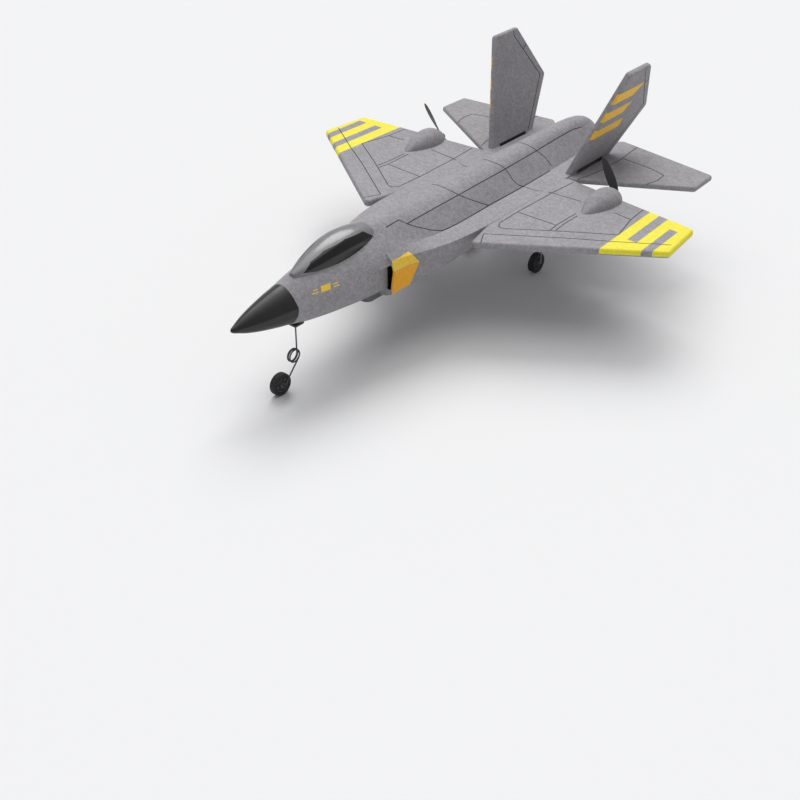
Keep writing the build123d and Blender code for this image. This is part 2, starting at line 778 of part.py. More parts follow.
def hatch_room():
    """What the hatch slides in: a bay with a lip left under each side."""
    bay = box_between(
        (-HATCH_HALF + HATCH_LIP, HATCH_FRONT_Y, BOX_BOTTOM_Z - 1),
        (HATCH_HALF - HATCH_LIP, BOX_REAR_Y + 1, BOX_BOTTOM_Z + 4),
    )
    groove = box_between(
        (-HATCH_HALF, HATCH_FRONT_Y, HATCH_LOW_Z - FIT),
        (HATCH_HALF, BOX_REAR_Y + 1, HATCH_LOW_Z + HATCH_THICK + FIT),
    )
    return bay + groove


def battery_hatch():
    """The sliding hatch, with grip ribs and the tray's rounded corners at its rear end."""
    side = HATCH_HALF - FIT
    door = box_between(
        (-side, HATCH_FRONT_Y + FIT, HATCH_LOW_Z),
        (side, BOX_REAR_Y - 0.2, HATCH_LOW_Z + HATCH_THICK),
    )
    for i in range(HATCH_RIBS):
        y = BOX_REAR_Y - 5.0 - HATCH_RIB_PITCH * i
        door += Pos(0, y, HATCH_LOW_Z) * Box(HATCH_RIB_WIDTH, 0.9, 0.5, align=HANG)
    return door & box_block(FIT, BOX_BOTTOM_Z - 2, BOX_TOP_Z)


SWITCH_Y = BOX_FRONT_Y + 15.0
PORT_Y = BOX_FRONT_Y + 26.0


def switch_room():
    """The slot in the tray's floor that the switch's knob moves in."""
    slot = Box(KNOB_WIDTH + 0.4, KNOB_LENGTH + 0.2 + SWITCH_TRAVEL + 2 * FIT, 6, align=SIT)
    return Pos(0, SWITCH_Y, BOX_BOTTOM_Z - 1) * slot


def switch_body():
    """The slide switch's metal case, on the tray's floor."""
    case = Pos(0, SWITCH_Y, FLOOR_Z) * Box(4.4, SWITCH_LENGTH, 3.8, align=SIT)
    room = Box(KNOB_WIDTH + 0.8, KNOB_LENGTH + 0.8 + SWITCH_TRAVEL + 2 * FIT, 3.0, align=SIT)
    return case - Pos(0, SWITCH_Y, FLOOR_Z - 1) * room


def switch_knob():
    """The switch's knob at its off end, standing out under the tray."""
    y = SWITCH_Y - SWITCH_TRAVEL / 2
    stem = Box(KNOB_WIDTH, KNOB_LENGTH, KNOB_PROUD + BOX_FLOOR + 1.4, align=SIT)
    stem = Pos(0, y, BOX_BOTTOM_Z - KNOB_PROUD) * stem
    return chamfer(stem.faces().sort_by(Axis.Z)[0].edges(), 0.3)


def port_block(room):
    """The outside of the charging socket."""
    return Pos(0, PORT_Y, BOX_BOTTOM_Z + 0.3 - room) * Box(
        PORT_WIDTH + 2 * room, 3.0 + 2 * room, 6.0, align=SIT
    )


def charge_port():
    """The charging socket, open downwards, with its contact tongue."""
    shell = port_block(0.0)
    shell -= Pos(0, PORT_Y, BOX_BOTTOM_Z - 1) * Box(PORT_WIDTH - 0.8, 2.2, 5.3, align=SIT)
    return shell + Pos(0, PORT_Y, BOX_BOTTOM_Z + 1.2) * Box(PORT_WIDTH - 3, 0.6, 3.4, align=SIT)


def tray_end_gap(half_width):
    """How far a square end stays from the tray's inner end to clear its rounded corners."""
    radius = BOX_CORNER - BOX_WALL
    into = max(half_width - (BOX_WIDTH / 2 - BOX_CORNER), 0.0)
    return radius - math.sqrt(radius**2 - into**2)


BATTERY_Z = HATCH_LOW_Z + HATCH_THICK + 1.2
CELL_CORNER_GAP = tray_end_gap(BATTERY_WIDTH / 2) + 2 * FIT
BATTERY_Y = BOX_REAR_Y - BOX_WALL - max(CELL_CORNER_GAP, CELL_END_GAP) - BATTERY_LENGTH / 2
BOARD_Z = LEAD_START[2] - BOARD_THICK
BOARD_Y = LEAD_START[1] - 8.0


def battery_pack():
    """A soft lithium cell with rounded long edges."""
    cell = Pos(0, BATTERY_Y, BATTERY_Z) * Box(BATTERY_WIDTH, BATTERY_LENGTH, BATTERY_THICK, align=SIT)
    return fillet(cell.edges().filter_by(Axis.Y), 3.0)


def battery_shelf():
    """Two rails that carry the cell above the hatch."""
    rails = Part()
    for sign in (-1, 1):
        inner = BATTERY_WIDTH / 2 - 2.0
        outer = BOX_WIDTH / 2 - BOX_WALL
        low = HATCH_LOW_Z + HATCH_THICK + FIT + 0.1
        rails += box_between(
            (min(sign * inner, sign * outer), HATCH_FRONT_Y + 4, low),
            (max(sign * inner, sign * outer), BOX_REAR_Y - BOX_WALL - 1, BATTERY_Z),
        )
    return rails


def receiver_board():
    """The circuit board, on two posts."""
    return Pos(0, BOARD_Y, BOARD_Z) * Box(BOARD_WIDTH, BOARD_LENGTH, BOARD_THICK, align=SIT)


def board_rails():
    """Ledges on the tray's sides that hold the board."""
    rails = Part()
    for sign in (-1, 1):
        inner = BOARD_WIDTH / 2 - 1.2
        outer = BOX_WIDTH / 2 - BOX_WALL
        rails += box_between(
            (min(sign * inner, sign * outer), BOARD_Y - 18, BOARD_Z - 1.6),
            (max(sign * inner, sign * outer), BOARD_Y + 18, BOARD_Z),
        )
    return rails


# x, distance aft of the board's middle, width, length, height.
CHIPS = [
    (0.0, -10.0, 5.0, 5.0, 1.0),
    (-6.0, -12.0, 3.0, 4.0, 1.2),
    (5.0, -14.0, 3.2, 2.5, 1.8),
    (0.0, 2.0, 6.0, 6.0, 1.1),
]


def board_chips():
    """The parts soldered on the board, as a group."""
    top = BOARD_Z + BOARD_THICK
    group = Part()
    for x, dy, wide, long, high in CHIPS:
        group += Pos(x, BOARD_Y + dy, top) * Box(wide, long, high, align=SIT)
    for i in range(5):
        group += Pos(-8 + 2.2 * i, BOARD_Y + 16.5, top) * Box(1.2, 0.8, 0.6, align=SIT)
    return group


def box_lid():
    """The tray's lid, with a hole for each motor's leads."""
    lid = box_block(BOX_WALL + FIT, LID_Z, BOX_TOP_Z)
    for sign in (-1, 1):
        x = sign * LEAD_START[0]
        lid -= Pos(x, LEAD_START[1], LID_Z - 1) * Cylinder(LEAD_D / 2 + LEAD_ROOM, 5, align=SIT)
    for x, y in screw_spots():
        lid -= Pos(x, y, LID_Z - 1) * Cylinder(SCREW_D / 2, 5, align=SIT)
    return lid


def screw_spots():
    """Where the lid's screws stand."""
    x = BOX_WIDTH / 2 - BOX_WALL - 3.2
    return [(s * x, y) for s in (-1, 1) for y in (BOX_FRONT_Y + 8, BOX_REAR_Y - 5.5)]


def box_posts():
    """The screw posts in the tray's corners."""
    posts = Part()
    for x, y in screw_spots():
        low = BATTERY_Z + BATTERY_THICK + 0.5 if y > HATCH_FRONT_Y else FLOOR_Z
        post = Pos(x, y, low) * Cylinder(2.4, LID_Z - low, align=SIT)
        web_x = math.copysign(BOX_WIDTH / 2 - BOX_WALL - 0.9, x)
        post += Pos(web_x, y, low) * Box(2.0, 2.4, LID_Z - low, align=SIT)
        post -= Pos(x, y, LID_Z - 6) * Cylinder(SCREW_D / 2, 8, align=SIT)
        posts += post
    return posts


def box_screws():
    """Four small screws with domed heads, as a group."""
    group = Part()
    for x, y in screw_spots():
        group += Pos(x, y, LID_Z - 5.5) * Cylinder(SCREW_D / 2, 6.9, align=SIT)
        head = Pos(x, y, BOX_TOP_Z) * Cylinder(SCREW_HEAD_D / 2, 1.0, align=SIT)
        head -= Pos(x, y, BOX_TOP_Z + 0.6) * Box(2.2, 0.5, 1, align=SIT)
        head -= Pos(x, y, BOX_TOP_Z + 0.6) * Box(0.5, 2.2, 1, align=SIT)
        group += head
    return group


SOCKET_Y = BOARD_Y - 15.0


def battery_socket():
    """The board's white battery socket."""
    body = Pos(-2, SOCKET_Y - 3.0, BOARD_Z) * Box(6, 5, 4, align=HANG)
    return body - Pos(-2, SOCKET_Y - 4.2, BOARD_Z - 0.8) * Box(4.2, 4.4, 2.4, align=HANG)


def battery_plug():
    """The plug on the battery's leads."""
    return Pos(-2, SOCKET_Y - 4.6, BOARD_Z - 0.9) * Box(4.0, 5.0, 2.2, align=HANG)


def battery_leads():
    """The pair of leads from the plug down to the cell."""
    x = -2.0
    y = SOCKET_Y - 7.1
    z = BOARD_Z - 2.0
    cell_y = BATTERY_Y - BATTERY_LENGTH / 2
    cell_z = BATTERY_Z + BATTERY_THICK / 2
    points = [(x, y, z), (x, y - 5.0, z), (x, y - 5.0, cell_z), (x, cell_y, cell_z)]
    return bent_rod(0.8, points, 2.2)


def antenna_path(radius):
    """The line of the antenna: straight aft from the board, out into the foam."""
    y = BOARD_Y + BOARD_LENGTH / 2
    z = BOARD_Z + BOARD_THICK / 2
    return rod(radius, (-6, y, z), (-6, y + ANTENNA_LENGTH, z))


def status_light():
    """The light beside the charging socket."""
    return Pos(LAMP_X, PORT_Y, BOX_BOTTOM_Z + 0.2) * Cylinder(LAMP_R, LAMP_LENGTH, align=SIT)


# Assembly

nose_upper, nose_lower = nose_bodies()
main_upper = Solid.make_loft([main_upper_wire(s) for s in MAIN_STATIONS])
main_lower = Solid.make_loft([main_lower_wire(s) for s in MAIN_STATIONS])
blister = canopy_blister(0.0)

mouths = intake_mouths()
upper = (nose_upper + main_upper) - canopy_blister(-SEAM_GAP) - mouths
lower = (nose_lower + main_lower) - mouths
nozzle = rod(NOZZLE_R, (0, TAIL_Y - NOZZLE_DEPTH, WING_Z - 1.0), (0, TAIL_Y + 1, WING_Z - 1.0))
upper -= nozzle
lower -= nozzle

wing = plate(wing_points(), WING_Z, WING_THICK, CORNER_ROUND, EDGE_ROUND)
tailplane = plate(tailplane_points(), SPLIT_Z + TAIL_THICK / 2, TAIL_THICK, CORNER_ROUND, TAIL_EDGE_ROUND)
fin = fin_solid([upper, lower, tailplane])
slot = fin_slot()
both_slots = slot + mirror(slot, about=Plane.YZ)
nacelle = nacelle_form(0.0)
channel = lead(LEAD_D / 2 + LEAD_ROOM)
both_channels = channel + mirror(channel, about=Plane.YZ)
spar_room = rod(SPAR_D / 2, (-SPAR_REACH, 0, 0), (SPAR_REACH, 0, 0))
spar_room = Pos(0, SPAR_Y, WING_Z) * spar_room

wing -= nacelle_form(SEAM_GAP)
wing -= channel
wing -= spar_room
tailplane -= slot
nacelle -= along_y(SEAT_R, SEAT_FRONT_Y, SEAT_REAR_Y + 1)
nacelle -= channel
nacelle -= spar_room

wings = wing + mirror(wing, about=Plane.YZ)
tails = tailplane + mirror(tailplane, about=Plane.YZ)
box_bay = box_block(-FIT, BOX_BOTTOM_Z - 2, BOX_TOP_Z + 1.2)

main_block = main_gear_block()
nose_block = nose_gear_block()
both_blocks = main_block + mirror(main_block, about=Plane.YZ)
leg = main_gear_wire()

for cutter in (wings, tails, both_slots, both_channels, spar_room):
    upper -= cutter
    lower -= cutter
upper -= box_bay
lower -= box_bay
lower -= antenna_path(ANTENNA_BORE_R)
lower -= both_blocks
lower -= nose_block + nose_flange(NOSE_BLOCK_Z - 4.0, 4.2) + nose_gear_strut()
lower -= leg + mirror(leg, about=Plane.YZ)

save("fuselage_upper", upper)
save("fuselage_lower", lower)
save("nose_cone", nose_cone())

middle_skin = canopy_blister(CANOPY_SKIN)
inner_skin = canopy_blister(CANOPY_WALL)
window = (blister - middle_skin) & window_prism()
pane_outside = canopy_blister(-SEAM_GAP)
pane_room = (pane_outside - canopy_blister(CANOPY_SKIN + SEAM_GAP)) & window_prism()
pane_rooms = pane_room + mirror(pane_room, about=Plane.YZ)
save("canopy_shell", blister - inner_skin - pane_rooms)
save_pair("canopy_window", window)

save_pair("wing", wing)
save_pair("tailplane", tailplane)
save_pair("fin", fin)
save("wing_spar", spar_room)
save_pair("nacelle", nacelle)

save_pair("motor_seat", motor_seat())
save_pair("motor_can", motor_can())
save_pair("motor_cap", along_y(MOTOR_D / 2, CAP_FRONT_Y, CAN_FRONT_Y))
save_pair("motor_shaft", motor_shaft())
save_pair("motor_leads", lead(LEAD_D / 2))
hub_left = Pos(MOTOR_X, PROP_Y, MOTOR_Z)
hub_right = Pos(-MOTOR_X, PROP_Y, MOTOR_Z)
save("propeller_left", hub_left * propeller(PROP_ANGLE_LEFT, 1))
save("propeller_right", hub_right * propeller(PROP_ANGLE_RIGHT, -1))

tray = control_box() + battery_shelf() + board_rails() + box_posts()
save("control_box", tray - status_light() - antenna_path(ANTENNA_BORE_R))
save("control_box_lid", box_lid())
save("battery_hatch", battery_hatch())
save("box_screws", box_screws())
save("battery_pack", battery_pack())
save("battery_leads", battery_leads())
save("battery_plug", battery_plug())
save("battery_socket", battery_socket())
save("receiver_board", receiver_board())
save("board_chips", board_chips())
save("antenna_wire", antenna_path(ANTENNA_R))
save("power_switch_body", switch_body())
save("power_switch_knob", switch_knob())
save("charge_port", charge_port())
save("status_light", status_light())

save_pair("main_gear_block", main_block)
save_pair("main_gear_wire", leg)
save_pair("main_wheel_retainer", retainer(MAIN_WHEEL_X, MAIN_WHEEL_Y))
main_tyre, main_hub = wheel(MAIN_WHEEL_X, MAIN_WHEEL_Y)
save_pair("main_tyre", main_tyre)
save_pair("main_hub", main_hub)

save("nose_gear_block", nose_block)
save("nose_gear_strut", nose_gear_strut())
save("nose_gear_coil", ring(COIL_X, COIL_WIDTH, WIRE_D))
save("nose_gear_wire", nose_gear_lower())
save("nose_wheel_retainer", retainer(NOSE_WHEEL_X, NOSE_WHEEL_Y))
nose_tyre, nose_hub = wheel(NOSE_WHEEL_X, NOSE_WHEEL_Y)
save("nose_tyre", nose_tyre)
save("nose_hub", nose_hub)
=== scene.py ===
"""Looks of a twin-motor foam jet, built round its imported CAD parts."""

import json
import math

import bmesh
import bpy
import numpy as np
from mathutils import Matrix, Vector
from mathutils.bvhtree import BVHTree
from mathutils.kdtree import KDTree

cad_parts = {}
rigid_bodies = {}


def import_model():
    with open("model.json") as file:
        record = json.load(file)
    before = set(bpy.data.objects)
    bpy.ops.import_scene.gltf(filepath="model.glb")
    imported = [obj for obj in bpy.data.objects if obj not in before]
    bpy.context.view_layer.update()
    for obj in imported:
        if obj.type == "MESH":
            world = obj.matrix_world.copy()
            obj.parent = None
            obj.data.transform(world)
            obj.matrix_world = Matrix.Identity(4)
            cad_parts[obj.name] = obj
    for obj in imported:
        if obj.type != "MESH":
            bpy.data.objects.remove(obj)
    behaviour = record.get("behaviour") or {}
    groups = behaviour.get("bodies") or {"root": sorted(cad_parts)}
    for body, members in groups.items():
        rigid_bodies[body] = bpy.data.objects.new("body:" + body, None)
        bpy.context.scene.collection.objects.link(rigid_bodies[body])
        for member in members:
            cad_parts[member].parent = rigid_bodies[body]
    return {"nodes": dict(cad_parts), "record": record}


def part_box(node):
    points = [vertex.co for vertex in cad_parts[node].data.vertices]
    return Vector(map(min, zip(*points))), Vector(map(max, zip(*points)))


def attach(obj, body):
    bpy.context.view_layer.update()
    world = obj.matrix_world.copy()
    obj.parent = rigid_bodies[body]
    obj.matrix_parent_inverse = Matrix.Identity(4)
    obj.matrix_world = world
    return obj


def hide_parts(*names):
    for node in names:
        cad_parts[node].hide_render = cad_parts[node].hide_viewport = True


bl_info = {
    "name": "Foam Jet",
    "version": (1, 0, 0),
    "blender": (4, 5, 0),
    "location": "View3D > Sidebar > Foam Jet",
    "description": "Builds the foam skins, running gear, control box and stage of a small model jet",
    "category": "Object",
}

MM = 0.001
for leftover in list(bpy.data.objects):
    bpy.data.objects.remove(leftover)
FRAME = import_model()
bpy.context.view_layer.update()
NODE_BODY = {n: b for b, members in FRAME["record"]["behaviour"]["bodies"].items() for n in members}
NODE_SLOT = {s["node"]: s["material_slot"] for s in FRAME["record"]["subparts"]}
SIDES = (("left", 1.0), ("right", -1.0))
DOWN = Vector((0, 0, -1))

# Places taken from the frame and from the part's own sizes, in millimetres.
WING_Z = (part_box("wing_left")[0].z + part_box("wing_left")[1].z) / 2 / MM
TAIL_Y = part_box("fuselage_upper")[1].y / MM
NOSE_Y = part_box("nose_cone")[0].y / MM
TAIL_REACH = 84.0
LIP_REACH = 114.0
ROOT_TE_Y = TAIL_Y - TAIL_REACH
LIP_Y = NOSE_Y + LIP_REACH
FIN_FOOT_X = 34.3
FIN_FOOT_RISE = 2.4
FIN_FOOT_Z = WING_Z + FIN_FOOT_RISE
FIN_CANT = math.radians(18.3)
FAR = 400.0
AXLE_BORE = 0.56


# Sizes and colours that a user would change


class JetSizes(bpy.types.PropertyGroup):
    """Sizes of the surface detail."""

    groove: bpy.props.FloatProperty(
        name="Panel line", description="Half-width of a pressed panel line",
        default=0.34 * MM, min=0.0001, max=0.001, unit="LENGTH", precision=5,
    )
    bead: bpy.props.FloatProperty(
        name="Foam bead", description="Width of one bead of the moulded foam",
        default=1.5 * MM, min=0.0005, max=0.004, unit="LENGTH", precision=5,
    )
    sidewall: bpy.props.FloatProperty(
        name="Tyre ring", description="Depth of the rings in a tyre's sidewall",
        default=0.16 * MM, min=0.0, max=0.0005, unit="LENGTH", precision=5,
    )
    blade_thick: bpy.props.FloatProperty(
        name="Blade thickness", description="Greatest thickness of a propeller blade at its root",
        default=1.25 * MM, min=0.0004, max=0.002, unit="LENGTH", precision=5,
    )


def colour(label, text, value):
    """A colour property with a name, a description and its default."""
    return bpy.props.FloatVectorProperty(
        name=label, description=text, default=value, min=0, max=1, size=3, subtype="COLOR"
    )


class JetColours(bpy.types.PropertyGroup):
    """Colours of the paint, the foam, the painted shade in the panel lines and the fittings."""

    foam: colour("Foam", "The grey of the moulded foam", (0.33, 0.318, 0.335))
    canopy: colour("Canopy", "The glossy spine of the canopy", (0.21, 0.205, 0.215))
    cone: colour("Cone", "The satin nose cone", (0.013, 0.013, 0.0135))
    stripe: colour("Wing stripe", "The pale yellow of the wing-tip bars", (0.93, 0.83, 0.05))
    wrap: colour("Intake band", "The yellow above the intake's crease", (1.0, 0.66, 0.07))
    wrap_low: colour("Intake band, low", "The orange below the intake's crease", (1.0, 0.47, 0.025))
    # The panel-line colour is painted shade for the bottom of each groove.
    groove: colour("Panel line", "The grey at the bottom of a panel line", (0.085, 0.08, 0.088))
    plastic: colour("Fittings", "The dark grey of the moulded fittings", (0.035, 0.035, 0.038))


def sizes():
    """The scene's surface sizes."""
    return bpy.context.scene.jet_sizes


def colours():
    """The scene's colours."""
    return bpy.context.scene.jet_colours


# Surfaces worked out with numpy


def patch_faces(rows, columns, wrap_rows=False, wrap_columns=False, start=0):
    """Quads of a grid whose point (i, j) is number i * columns + j, wrapped where asked."""
    i = np.arange(rows if wrap_rows else rows - 1)[:, None]
    j = np.arange(columns if wrap_columns else columns - 1)[None, :]
    a = i * columns + j
    b = i * columns + (j + 1) % columns
    c = ((i + 1) % rows) * columns + (j + 1) % columns
    d = ((i + 1) % rows) * columns + j
    return start + np.stack([a, b, c, d], -1).reshape(-1, 4)


def joined(mesh, gap, outwards):
    """Joins a mesh's points that are within a gap, and turns its faces outwards where asked."""
    bm = bmesh.new()
    bm.from_mesh(mesh)
    bmesh.ops.remove_doubles(bm, verts=bm.verts, dist=gap)
    if outwards:
        bmesh.ops.recalc_face_normals(bm, faces=bm.faces)
    bm.to_mesh(mesh)
    bm.free()
    return mesh


def piece(name, grids, node, material, angle):
    """One piece out of several grids, each (points, wrap_rows, wrap_columns), for a CAD node.

    Its ends are closed by the grids themselves. Its faces are turned outwards after welding.
    """
    points = np.concatenate([g[0].reshape(-1, 3) for g in grids])
    starts = np.cumsum([0] + [g[0].shape[0] * g[0].shape[1] for g in grids])
    faces = [
        patch_faces(g[0].shape[0], g[0].shape[1], g[1], g[2], s) for g, s in zip(grids, starts)
    ]
    mesh = bpy.data.meshes.new(name)
    mesh.from_pydata(points.tolist(), [], np.concatenate(faces).tolist())
    return settle(name, joined(mesh, 2e-6, True), node, material, angle)


def settle(name, mesh, node, material, angle):
    """Links a finished mesh as a piece that rides with a CAD node and stands for it."""
    mesh.polygons.foreach_set("use_smooth", np.ones(len(mesh.polygons), bool))
    mesh.set_sharp_from_angle(angle=math.radians(angle))
    obj = bpy.data.objects.new(name, mesh)
    bpy.context.scene.collection.objects.link(obj)
    mesh.materials.append(material)
    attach(obj, NODE_BODY[node])
    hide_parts(node)
    return obj


def turned(profile, centre, axis, steps, closed=False):
    """A profile of (distance along the axis, radius) turned about the axis through a point.

    Point (i, j) is centre + a_i * axis + r_i * (cos t_j * u + sin t_j * v), where u and v
    are at right angles to the axis and t_j goes once round in equal steps.
    """
    axis = np.array(axis, float)
    u = np.array([0.0, 0.0, 1.0])
    v = np.cross(axis, u)
    t = np.linspace(0, 2 * math.pi, steps, endpoint=False)
    a, r = np.array(profile, float).T
    around = np.cos(t)[:, None] * u + np.sin(t)[:, None] * v
    points = np.array(centre) + a[:, None, None] * axis + r[:, None, None] * around[None]
    return points * MM, closed, True


def swept(path, radius, sides):
    """A round tube along a path that has little run along one of the axes, with closed flat ends.

    Point (i, j) is p_i + r_i * (cos t_j * n_i + sin t_j * b_i): n is the path's direction crossed
    with the axis that the path runs least along, and b is the direction crossed with n.
    """
    path = np.array(path, float)
    path = np.concatenate([path[:1], path, path[-1:]])
    radius = np.concatenate([[1e-5], np.full(len(path) - 2, radius), [1e-5]])
    step = np.gradient(path, axis=0)
    step[0], step[-1] = path[2] - path[1], path[-2] - path[-3]
    step[1], step[-2] = path[2] - path[1], path[-2] - path[-3]
    step /= np.linalg.norm(step, axis=1)[:, None]
    side = np.eye(3)[int(np.argmin(np.abs(step).max(0)))]
    n = np.cross(step, side)
    n /= np.linalg.norm(n, axis=1)[:, None]
    b = np.cross(step, n)
    t = np.linspace(0, 2 * math.pi, sides, endpoint=False)
    ring = np.cos(t)[None, :, None] * n[:, None] + np.sin(t)[None, :, None] * b[:, None]
    return (path[:, None] + radius[:, None, None] * ring) * MM, False, True


def swept_free(path, radius, sides):
    """A round tube along a path that turns any way, with closed flat ends.

    Point (i, j) is p_i + r * (cos t_j * n_i + sin t_j * b_i). The normal n is carried along: each
    is the one before it less its part along the new direction, at length one again.
    """
    path = np.array(path, float)
    path = path[np.concatenate([[True], np.linalg.norm(np.diff(path, axis=0), axis=1) > 1e-4])]
    step = np.gradient(path, axis=0)
    step /= np.linalg.norm(step, axis=1)[:, None]
    normals = [np.cross(step[0], np.eye(3)[int(np.argmin(np.abs(step[0])))])]
    for direction in step[1:]:
        n = normals[-1] - (normals[-1] @ direction) * direction
        normals.append(n / np.linalg.norm(n))
    n = np.array(normals)
    n[0] /= np.linalg.norm(n[0])
    b = np.cross(step, n)
    t = np.linspace(0, 2 * math.pi, sides, endpoint=False)
    ring = np.cos(t)[None, :, None] * n[:, None] + np.sin(t)[None, :, None] * b[:, None]
    tube = path[:, None] + radius * ring
    tube = np.concatenate([path[:1, None] + 1e-5 * ring[:1], tube, path[-1:, None] + 1e-5 * ring[-1:]])
    return tube * MM, False, True


def along(points, spacing):
    """Points every spacing millimetres along straight runs, by linear interpolation of the length."""
    points = np.array(points, float)
    length = np.concatenate([[0], np.cumsum(np.linalg.norm(np.diff(points, axis=0), axis=1))])
    count = max(int(length[-1] / spacing) + 1, 2)
    s = np.linspace(0, length[-1], count)
    return np.stack([np.interp(s, length, points[:, k]) for k in range(points.shape[1])], 1)


def rounded(points, radius, steps=7):
    """Straight runs whose corners are arcs of a radius.

    A corner p between directions d and e, turning by an angle w, is cut back by
    k = radius * tan(w / 2) on both sides. The points between are
    (1 - sin t) * (p - k d) + (1 - cos t) * (p + k e) + (sin t + cos t - 1) * p for t up to a right angle.
    """
    points = [np.array(p, float) for p in points]
    t = np.linspace(0, math.pi / 2, steps)[:, None]
    out = [points[0][None]]
    for a, p, c in zip(points, points[1:], points[2:]):
        d = (p - a) / np.linalg.norm(p - a)
        e = (c - p) / np.linalg.norm(c - p)
        k = radius * math.tan(math.acos(np.clip(d @ e, -1, 1)) / 2)
        out.append((1 - np.sin(t)) * (p - k * d) + (1 - np.cos(t)) * (p + k * e)
                   + (np.sin(t) + np.cos(t) - 1) * p)
    out.append(points[-1][None])
    return np.concatenate(out)


# Welded skins of the CAD nodes, with pressed panel lines

# Steps along a line that is thrown on a surface, in millimetres, and along a finished groove,
# as a share of its half-width. A face counts as groove within GROOVE_REACH half-widths of it.
LINE_STEP = 1.2
GROOVE_STEP = 0.5
GROOVE_REACH = 1.15
GROOVE_FACE = 2.6


def welded(node):
    """A copy of a CAD node's mesh with its loose triangles joined."""
    mesh = FRAME["nodes"][node].data.copy()
    mesh.materials.clear()
    mesh.name = "skin_" + node
    joined(mesh, 1e-7, False)
    if "custom_normal" in mesh.attributes:
        mesh.attributes.remove(mesh.attributes["custom_normal"])
    return mesh


def groove_paths(mesh, lines, look):
    """Lines on a mesh: each point list is thrown along the look direction onto the surface.

    Points are (x, y) seen from above, or (y, z) seen from the side, in millimetres.
    """
    bm = bmesh.new()
    bm.from_mesh(mesh)
    tree = BVHTree.FromBMesh(bm)
    bm.free()
    found = []
    for line in lines:
        seen = along(line, LINE_STEP)
        if look.z:
            starts = np.stack([seen[:, 0], seen[:, 1], np.full(len(seen), FAR)], 1)
        else:
            starts = np.stack([np.full(len(seen), -FAR * look.x), seen[:, 0], seen[:, 1]], 1)
        hits = [tree.ray_cast(Vector(s) * MM, look)[0] for s in starts]
        hits = [h for h in hits if h is not None]
        if len(hits) > 2:
            found.append(np.array([h / MM for h in hits]))
    return found


def carve(mesh, paths, radius):
    """Presses a half-round groove along each path into a mesh."""
    body = bpy.data.objects.new("carving", mesh)
    bpy.context.scene.collection.objects.link(body)
    cutters = []
    for path in paths:
        points, _, _ = swept(path, radius / MM, 8)
        cutter_mesh = bpy.data.meshes.new("cutter")
        faces = patch_faces(points.shape[0], points.shape[1], False, True)
        cutter_mesh.from_pydata(points.reshape(-1, 3).tolist(), [], faces.tolist())
        cutter = bpy.data.objects.new("cutter", joined(cutter_mesh, 1e-7, True))
        bpy.context.scene.collection.objects.link(cutter)
        cut = body.modifiers.new("groove", "BOOLEAN")
        cut.operation = "DIFFERENCE"
        cut.solver = "MANIFOLD"
        cut.object = cutter
        cutters.append(cutter)
    graph = bpy.context.evaluated_depsgraph_get()
    result = bpy.data.meshes.new_from_object(body.evaluated_get(graph))
    for obj in [body] + cutters:
        data = obj.data
        bpy.data.objects.remove(obj)
        bpy.data.meshes.remove(data)
    return result


def mark_grooves(mesh, paths, radius):
    """Stores on each face whether it is a small one wholly inside a groove, for the painted shade that
    darkens it.
    """
    tree = KDTree(sum(len(path) for path in paths))
    for point in np.concatenate(paths):
        tree.insert(Vector(point) * MM, 0)
    tree.balance()
    close = np.array([tree.find(vertex.co)[2] < radius for vertex in mesh.vertices])
    largest = (GROOVE_FACE * radius) ** 2
    inside = [
        float(face.area < largest and tree.find(face.center)[2] < radius and close[face.vertices].all())
        for face in mesh.polygons
    ]
    mesh.attributes.new("groove", "FLOAT", "FACE").data.foreach_set("value", inside)


def skin(name, node, material, lines=(), looks=(DOWN,), angle=22.0):
    """A welded skin of a CAD node, with its panel lines pressed in from each direction of look."""
    mesh = welded(node)
    if lines:
        paths = [path for look in looks for path in groove_paths(mesh, lines, look)]
        mesh = carve(mesh, paths, sizes().groove)
        fine = [along(path, sizes().groove / MM * GROOVE_STEP) for path in paths]
        mark_grooves(mesh, fine, sizes().groove * GROOVE_REACH)
        mesh.name = "skin_" + node
    mesh.materials.clear()
    return settle(name, mesh, node, material, angle)


def both_sides(lines):
    """Lines and their mirror images about x = 0."""
    return list(lines) + [[(-x, y) for x, y in line] for line in lines]


def mirrored(lines, sign):
    """Lines drawn for the left side, on the side whose sign is given."""
    return [[(sign * x, y) for x, y in line] for line in lines]


# Panel lines from above, in x and y.
WING_LINES = [
    [(50.6, -14.2), (44.6, -3.4), (89.3, 26.8), (113.1, 41.4), (145.4, 62.6)],
    [(112.2, 52.4), (84.0, 34.4), (71.5, 25.9), (50.2, 11.0), (46.4, 10.9), (43.4, 15.0),
     (42.6, 36.4), (43.4, 75.4), (45.0, 99.4)],
    [(42.6, 36.4), (48.8, 36.5), (72.8, 37.4)],
    [(74.6, 28.4), (73.5, 38.0), (73.7, 60.0)],
    [(77.7, 30.8), (76.4, 42.0), (76.4, 58.0)],
    [(40.6, 74.4), (43.2, 75.4), (66.4, 77.4)],
    [(106.5, 76.1), (92.4, 77.7)],
    [(112.2, 52.4), (106.5, 76.1), (104.8, 96.2)],
]
TAIL_LINES = [
    [(45.2, 184.5), (48.0, 158.0), (48.2, 140.0), (46.2, 118.4), (43.0, 106.4)],
    [(48.0, 158.0), (74.3, 155.6), (86.0, 152.0), (87.2, 142.0), (84.0, 130.8)],
]
